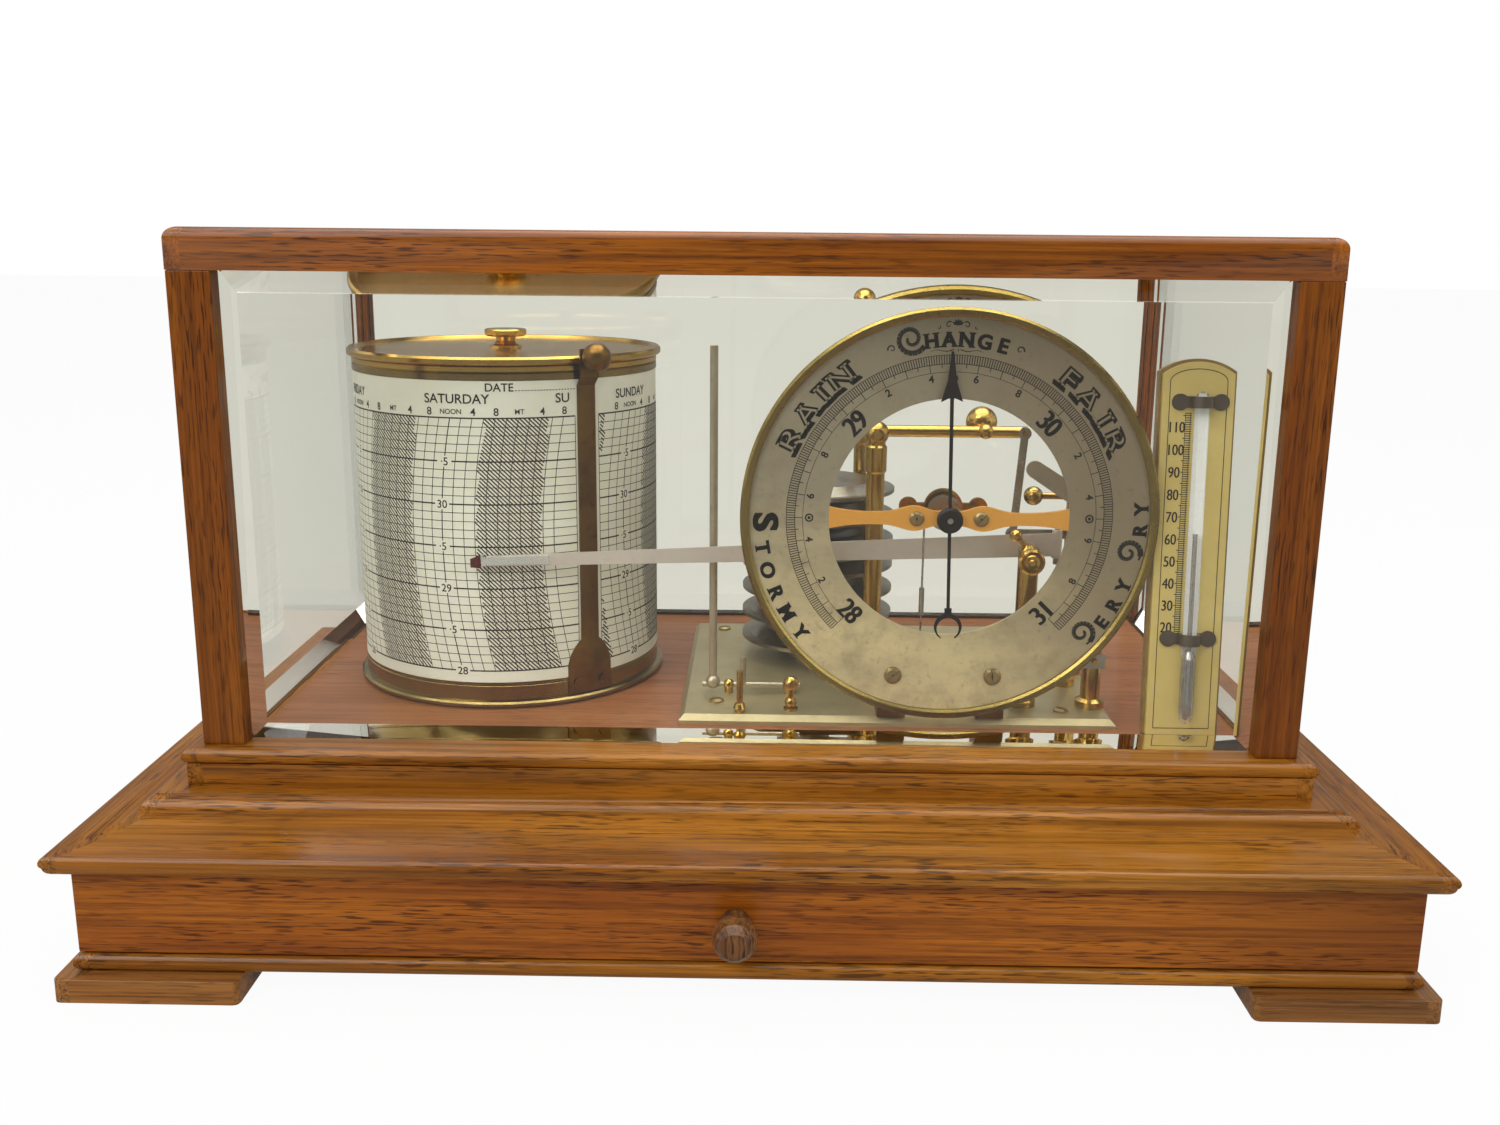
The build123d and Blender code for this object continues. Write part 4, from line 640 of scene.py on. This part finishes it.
def curl(centre, size, turn, hand, first, last, thin, thick):
    """Spiral that opens clockwise (hand 1) or anticlockwise (hand -1) from the angle first to last."""
    mapping = turned_about(centre, turn)
    count = int((last - first) / 18)
    path = []
    for i in range(count + 1):
        angle = radians(first + (last - first) * i / count)
        reach = size * (0.1 + 0.4 * i / count)
        path.append(mapping(hand * reach * sin(angle), reach * cos(angle)))
    dial.stroke(path, thin, thick)
    return mapping


def initial(turn, radius, size):
    """Curled capital with a foot, as engraved for both words of the driest reading."""
    mapping = curl(polar(radius, turn), size, turn + 180, 1, 90, 545, 0.8, 1.6)
    dial.stroke([mapping(-1.5, -0.47 * size), mapping(1.2, -0.52 * size)], 0.6)


# The words round the rim: the angle of each letter clockwise from the top, then radius and height.
for name, turn in zip("HANGE", (-7.8, -2.3, 3.2, 9.0, 14.9)):
    letter(name, turn, 49.7, 4.0)
curl(polar(51.0, -14.0), 8.4, -14.0, -1, 60, 590, 0.8, 1.5)
for name, turn, wide in zip("RAIN", (-64.0, -54.2, -46.4, -38.7), (1.45, 1.2, 1.35, 1.25)):
    shaded_letter(name, turn, 50.0, 5.7, wide)
for name, turn, wide in zip("FAIR", (38.4, 47.2, 55.8, 63.2), (1.4, 1.25, 1.35, 1.4)):
    shaded_letter(name, turn, 50.2, 5.7, wide)
letter("S", -91.6, 50.9, 6.9, True, 1.15)
for name, turn in zip("TORMY", (-99.7, -106.9, -114.4, -121.6, -129.2)):
    letter(name, turn, 52.5, 4.0, True, 1.05)
initial(129.9, 50.6, 7.2)
for name, turn in zip("ERY", (123.5, 117.1, 110.5)):
    letter(name, turn, 53.0, 3.9, True)
initial(100.2, 51.2, 7.2)
for name, turn in zip("RY", (92.9, 86.3)):
    letter(name, turn, 53.2, 3.9, True)
# Scrolls beside the top word, and a crown above it.
for side in (-1, 1):
    curl(polar(49.9, side * 20.4), 2.4, 0, side, 120, 470, 0.2, 0.45)
    curl(polar(53.5, 0.3 + side * 2.6), 1.9, 0, -side, 60, 400, 0.15, 0.4)
    curl(polar(52.9, 0.3 + side * 5.6), 1.1, 0, side, 60, 330, 0.12, 0.3)
    dial.stroke([polar(46.7 + 0.3 * cos(i), 0.3 + side * 1.1 * i) for i in range(1, 9)], 0.3, 0.1)
for petal in (-60, -30, 0, 30, 60):
    mapping = turned_about(polar(53.3, 0.3), petal)
    dial.polygon([mapping(0, 0), mapping(0.42, 1.0), mapping(0, 1.9), mapping(-0.42, 1.0)])
dial.stroke([polar(46.7, 0.3 + 0.6 * cos(i)) for i in range(2)], 0.7)
letter_faces.lay("letter_faces", on_dial, silvered, "case", 0.08)

# Screws on the dial and below it: across, up, turn of the slot and radius of the head.
# A black stroke lies over each slot: painted shade in its recess.
slot_shade = Print()
screw_heads = [(-9.0, 0, 118, 2.1), (9.0, 0, 40, 2.1), (-14.2, -45.7, 40, 2.5), (14.2, -45.7, 100, 2.5)]
for x, z, turn, radius in screw_heads:
    half = (0.9 * radius * cos(radians(turn)), 0.9 * radius * sin(radians(turn)))
    slot_shade.stroke([(x - half[0], z + half[1]), (x + half[0], z - half[1])], 0.5)
slot_shade.lay("screw_slot_shade", on_dial, engraving_black_and_shade, "case", 0.65)
dial.lay("dial_markings", on_dial, engraving_black_and_shade, "case")

# ---------------------------------------------------------------- thermometer scale
low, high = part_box("thermometer_plate")
lean = radians(5)
foot = Vector(((low[0] + high[0]) / 2, low[1], low[2]))
wide, tall = (high[0] - low[0]) / MM, (high[2] - low[2]) / MM / cos(lean)


def on_scale(u, v, out):
    """u from the middle of the plate, v up along it from its foot."""
    y = v * sin(lean) - out * cos(lean)
    z = v * cos(lean) + out * sin(lean)
    return (foot.x + u * MM, foot.y + y * MM, foot.z + z * MM)


def degree_height(value):
    height_of_20, per_degree = 31.3, 0.627
    return height_of_20 + (value - 20) * per_degree


scale = Print()
for value in range(14, 117):
    v = degree_height(value)
    scale.stroke([(-3.3 if value % 5 else -3.9, v), (-1.5, v)], 0.24)
for u in (-3.3, -1.9):
    scale.stroke([(u, degree_height(14)), (u, degree_height(116))], 0.16)
for value in range(20, 111, 10):
    scale.text(str(value), (-5.7, degree_height(value)), 3.1, condense=0.78, serif=0.05, swell=0.02)
border_inset, border_arch = 2.0, 3.4
edge, shoulder = wide / 2 - border_inset, tall - border_inset - border_arch
border = [(-edge, border_inset), (edge, border_inset), (edge, shoulder)]
border += [(edge * cos(radians(a)), shoulder + border_arch * sin(radians(a))) for a in range(10, 171, 10)]
border += [(-edge, shoulder), (-edge, border_inset)]
scale.stroke(border, 0.22)
tube_across, tube_foot, tube_head = 0.6, 16.5, tall - 9.5
backing = Print()
backing.stroke([(tube_across, tube_foot), (tube_across, tube_head)], 2.8)
backing.lay("tube_enamel", on_scale, enamel, "case")
scale.lay("thermometer_markings", on_scale, black, "case")

# ---------------------------------------------------------------- painted shadow along the back of the platform
# A near-black bead that stands in for the line of shade at the foot of the back pane.
low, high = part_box("platform")
bead_back, bead_width, bead_height = high[1] - 0.4 * MM, 1.5 * MM, 1.7 * MM
bead_section = [(-bead_width, 0), (0, 0), (0, bead_height)]
for a in (30, 60, 90):
    rise = 0.55 + 0.45 * cos(radians(a))
    bead_section.append((-bead_width * (1 - cos(radians(a))), bead_height * rise))
bead_ends = (low[0] + 6 * MM, high[0] - 6 * MM)
bead_points = [(x, bead_back + y, high[2] + z) for x in bead_ends for y, z in bead_section]
count = len(bead_section)
bead_faces = [(i, (i + 1) % count, (i + 1) % count + count, i + count) for i in range(count)]
bead_faces += [tuple(reversed(range(count))), tuple(range(count, 2 * count))]
piece("back_painted_shadow", bead_points, bead_faces, painted_shadow_bead, "case")

# ---------------------------------------------------------------- stage, light and camera
WHITE, THROUGH_GLASS = (1, 1, 1), (0.77, 0.755, 0.66)


def backdrop(shade, in_mirrors):
    """Light path, whether it left a polished surface, and the tint: white, duller seen through glass."""
    light_path = shade.add("LightPath").outputs
    mirrored = shade.math("GREATER_THAN", light_path["Glossy Depth"], 0.5)
    tint = shade.mix(light_path["Is Transmission Ray"], WHITE, THROUGH_GLASS)
    return light_path, mirrored, shade.mix(mirrored, tint, in_mirrors)


# The floor glows white where it is looked at and still takes a faint shadow.
stage = Shade("studio_floor")
light_path, _, shown = backdrop(stage, (0.3, 0.28, 0.24))
seen = stage.math("MAXIMUM", light_path["Is Camera Ray"], light_path["Is Transmission Ray"])
seen = stage.math("MAXIMUM", seen, light_path["Is Glossy Ray"])
cloud = stage.noise(stage.place(), 3.0)
lit = stage.add("BsdfDiffuse", {"Color": stage.mix(cloud, (0.86, 0.86, 0.86), (0.9, 0.9, 0.9))})
glow = stage.add("Emission", {"Color": shown, "Strength": 1.0})
blend = stage.add("MixShader", {0: stage.times(seen, 0.95), 1: lit.outputs[0], 2: glow.outputs[0]})
stage.tree.links.new(blend.outputs[0], stage.output.inputs["Surface"])
reach = 6.0
corners = [(-reach, -reach, 0), (reach, -reach, 0), (reach, reach, 0), (-reach, reach, 0)]
floor_mesh = bpy.data.meshes.new("floor")
floor_mesh.from_pydata(corners, [], [(0, 1, 2, 3)])
floor_mesh.materials.append(stage.owner)
floor = bpy.data.objects.new("floor", floor_mesh)
bpy.context.scene.collection.objects.link(floor)

# The room is white to the camera, a dim light to matt surfaces and a set of bright panels to polished ones.
room = Shade("studio", world=True)
bpy.context.scene.world = room.owner
light_path, mirrored, tint = backdrop(room, (1, 0.98, 0.92))
direction = room.split(room.add("TexCoord").outputs["Generated"])


def panel(axis, start, full, level):
    """Bright part of the room that grows along an axis from start to full."""
    return room.step(direction[axis], start, full, level)


overhead = panel(2, 0.72, 0.84, 3.0)
high_behind = room.times(panel(1, 0.6, 0.85, 0.8), panel(2, 0.25, 0.45, 1.0))
brightness = room.math("MAXIMUM", overhead, high_behind)
for side in (panel(0, -0.55, -0.75, 1.1), panel(0, 0.7, 0.9, 0.8), panel(1, 0.6, 0.85, 0.25)):
    brightness = room.math("MAXIMUM", brightness, side)
level = room.mix_value(light_path["Is Transmission Ray"], 0.42, 1.0)
level = room.mix_value(mirrored, level, room.plus(brightness, 0.07))
strength = room.mix_value(light_path["Is Camera Ray"], level, 1.0)
background = room.add("Background", {"Color": tint, "Strength": strength})
room.tree.links.new(background.outputs[0], room.output.inputs["Surface"])


def lamp(name, position, target, size, power):
    data = bpy.data.lights.new(name, "AREA")
    data.shape = "RECTANGLE"
    data.size, data.size_y = size
    data.energy = power
    holder = bpy.data.objects.new(name, data)
    holder.location = position
    holder.rotation_euler = (Vector(target) - Vector(position)).to_track_quat("-Z", "Y").to_euler()
    bpy.context.scene.collection.objects.link(holder)


lamp("key_lamp", (-0.9, -1.1, 1.3), (0, 0, 0.1), (1.0, 1.0), 13)
lamp("fill_lamp", (1.2, -0.9, 0.9), (0, 0, 0.1), (0.9, 0.9), 5)
lamp("top_lamp", (0, 0.2, 1.6), (0, 0, 0), (1.4, 1.0), 8)

# The lens, the place and the angles of the camera were solved from the corners of the case.
camera_data = bpy.data.cameras.new("camera")
camera_data.sensor_width = 36
camera_data.lens = 33.5568
camera_data.clip_start = 0.01
camera = bpy.data.objects.new("camera", camera_data)
bpy.context.scene.collection.objects.link(camera)
yaw, pitch, roll = 0.011, 0.2287, -0.0097
forward = Vector((-sin(yaw) * cos(pitch), cos(yaw) * cos(pitch), -sin(pitch)))
right = Vector((cos(yaw), sin(yaw), 0))
above = right.cross(forward)
across_view = right * cos(roll) - above * sin(roll)
up_view = right * sin(roll) + above * cos(roll)
turn = Matrix((across_view, up_view, -forward)).transposed().to_4x4()
camera.matrix_world = Matrix.Translation((0.00396, -0.436425, 0.19833)) @ turn
bpy.context.scene.camera = camera
bpy.context.scene.view_settings.view_transform = "Standard"
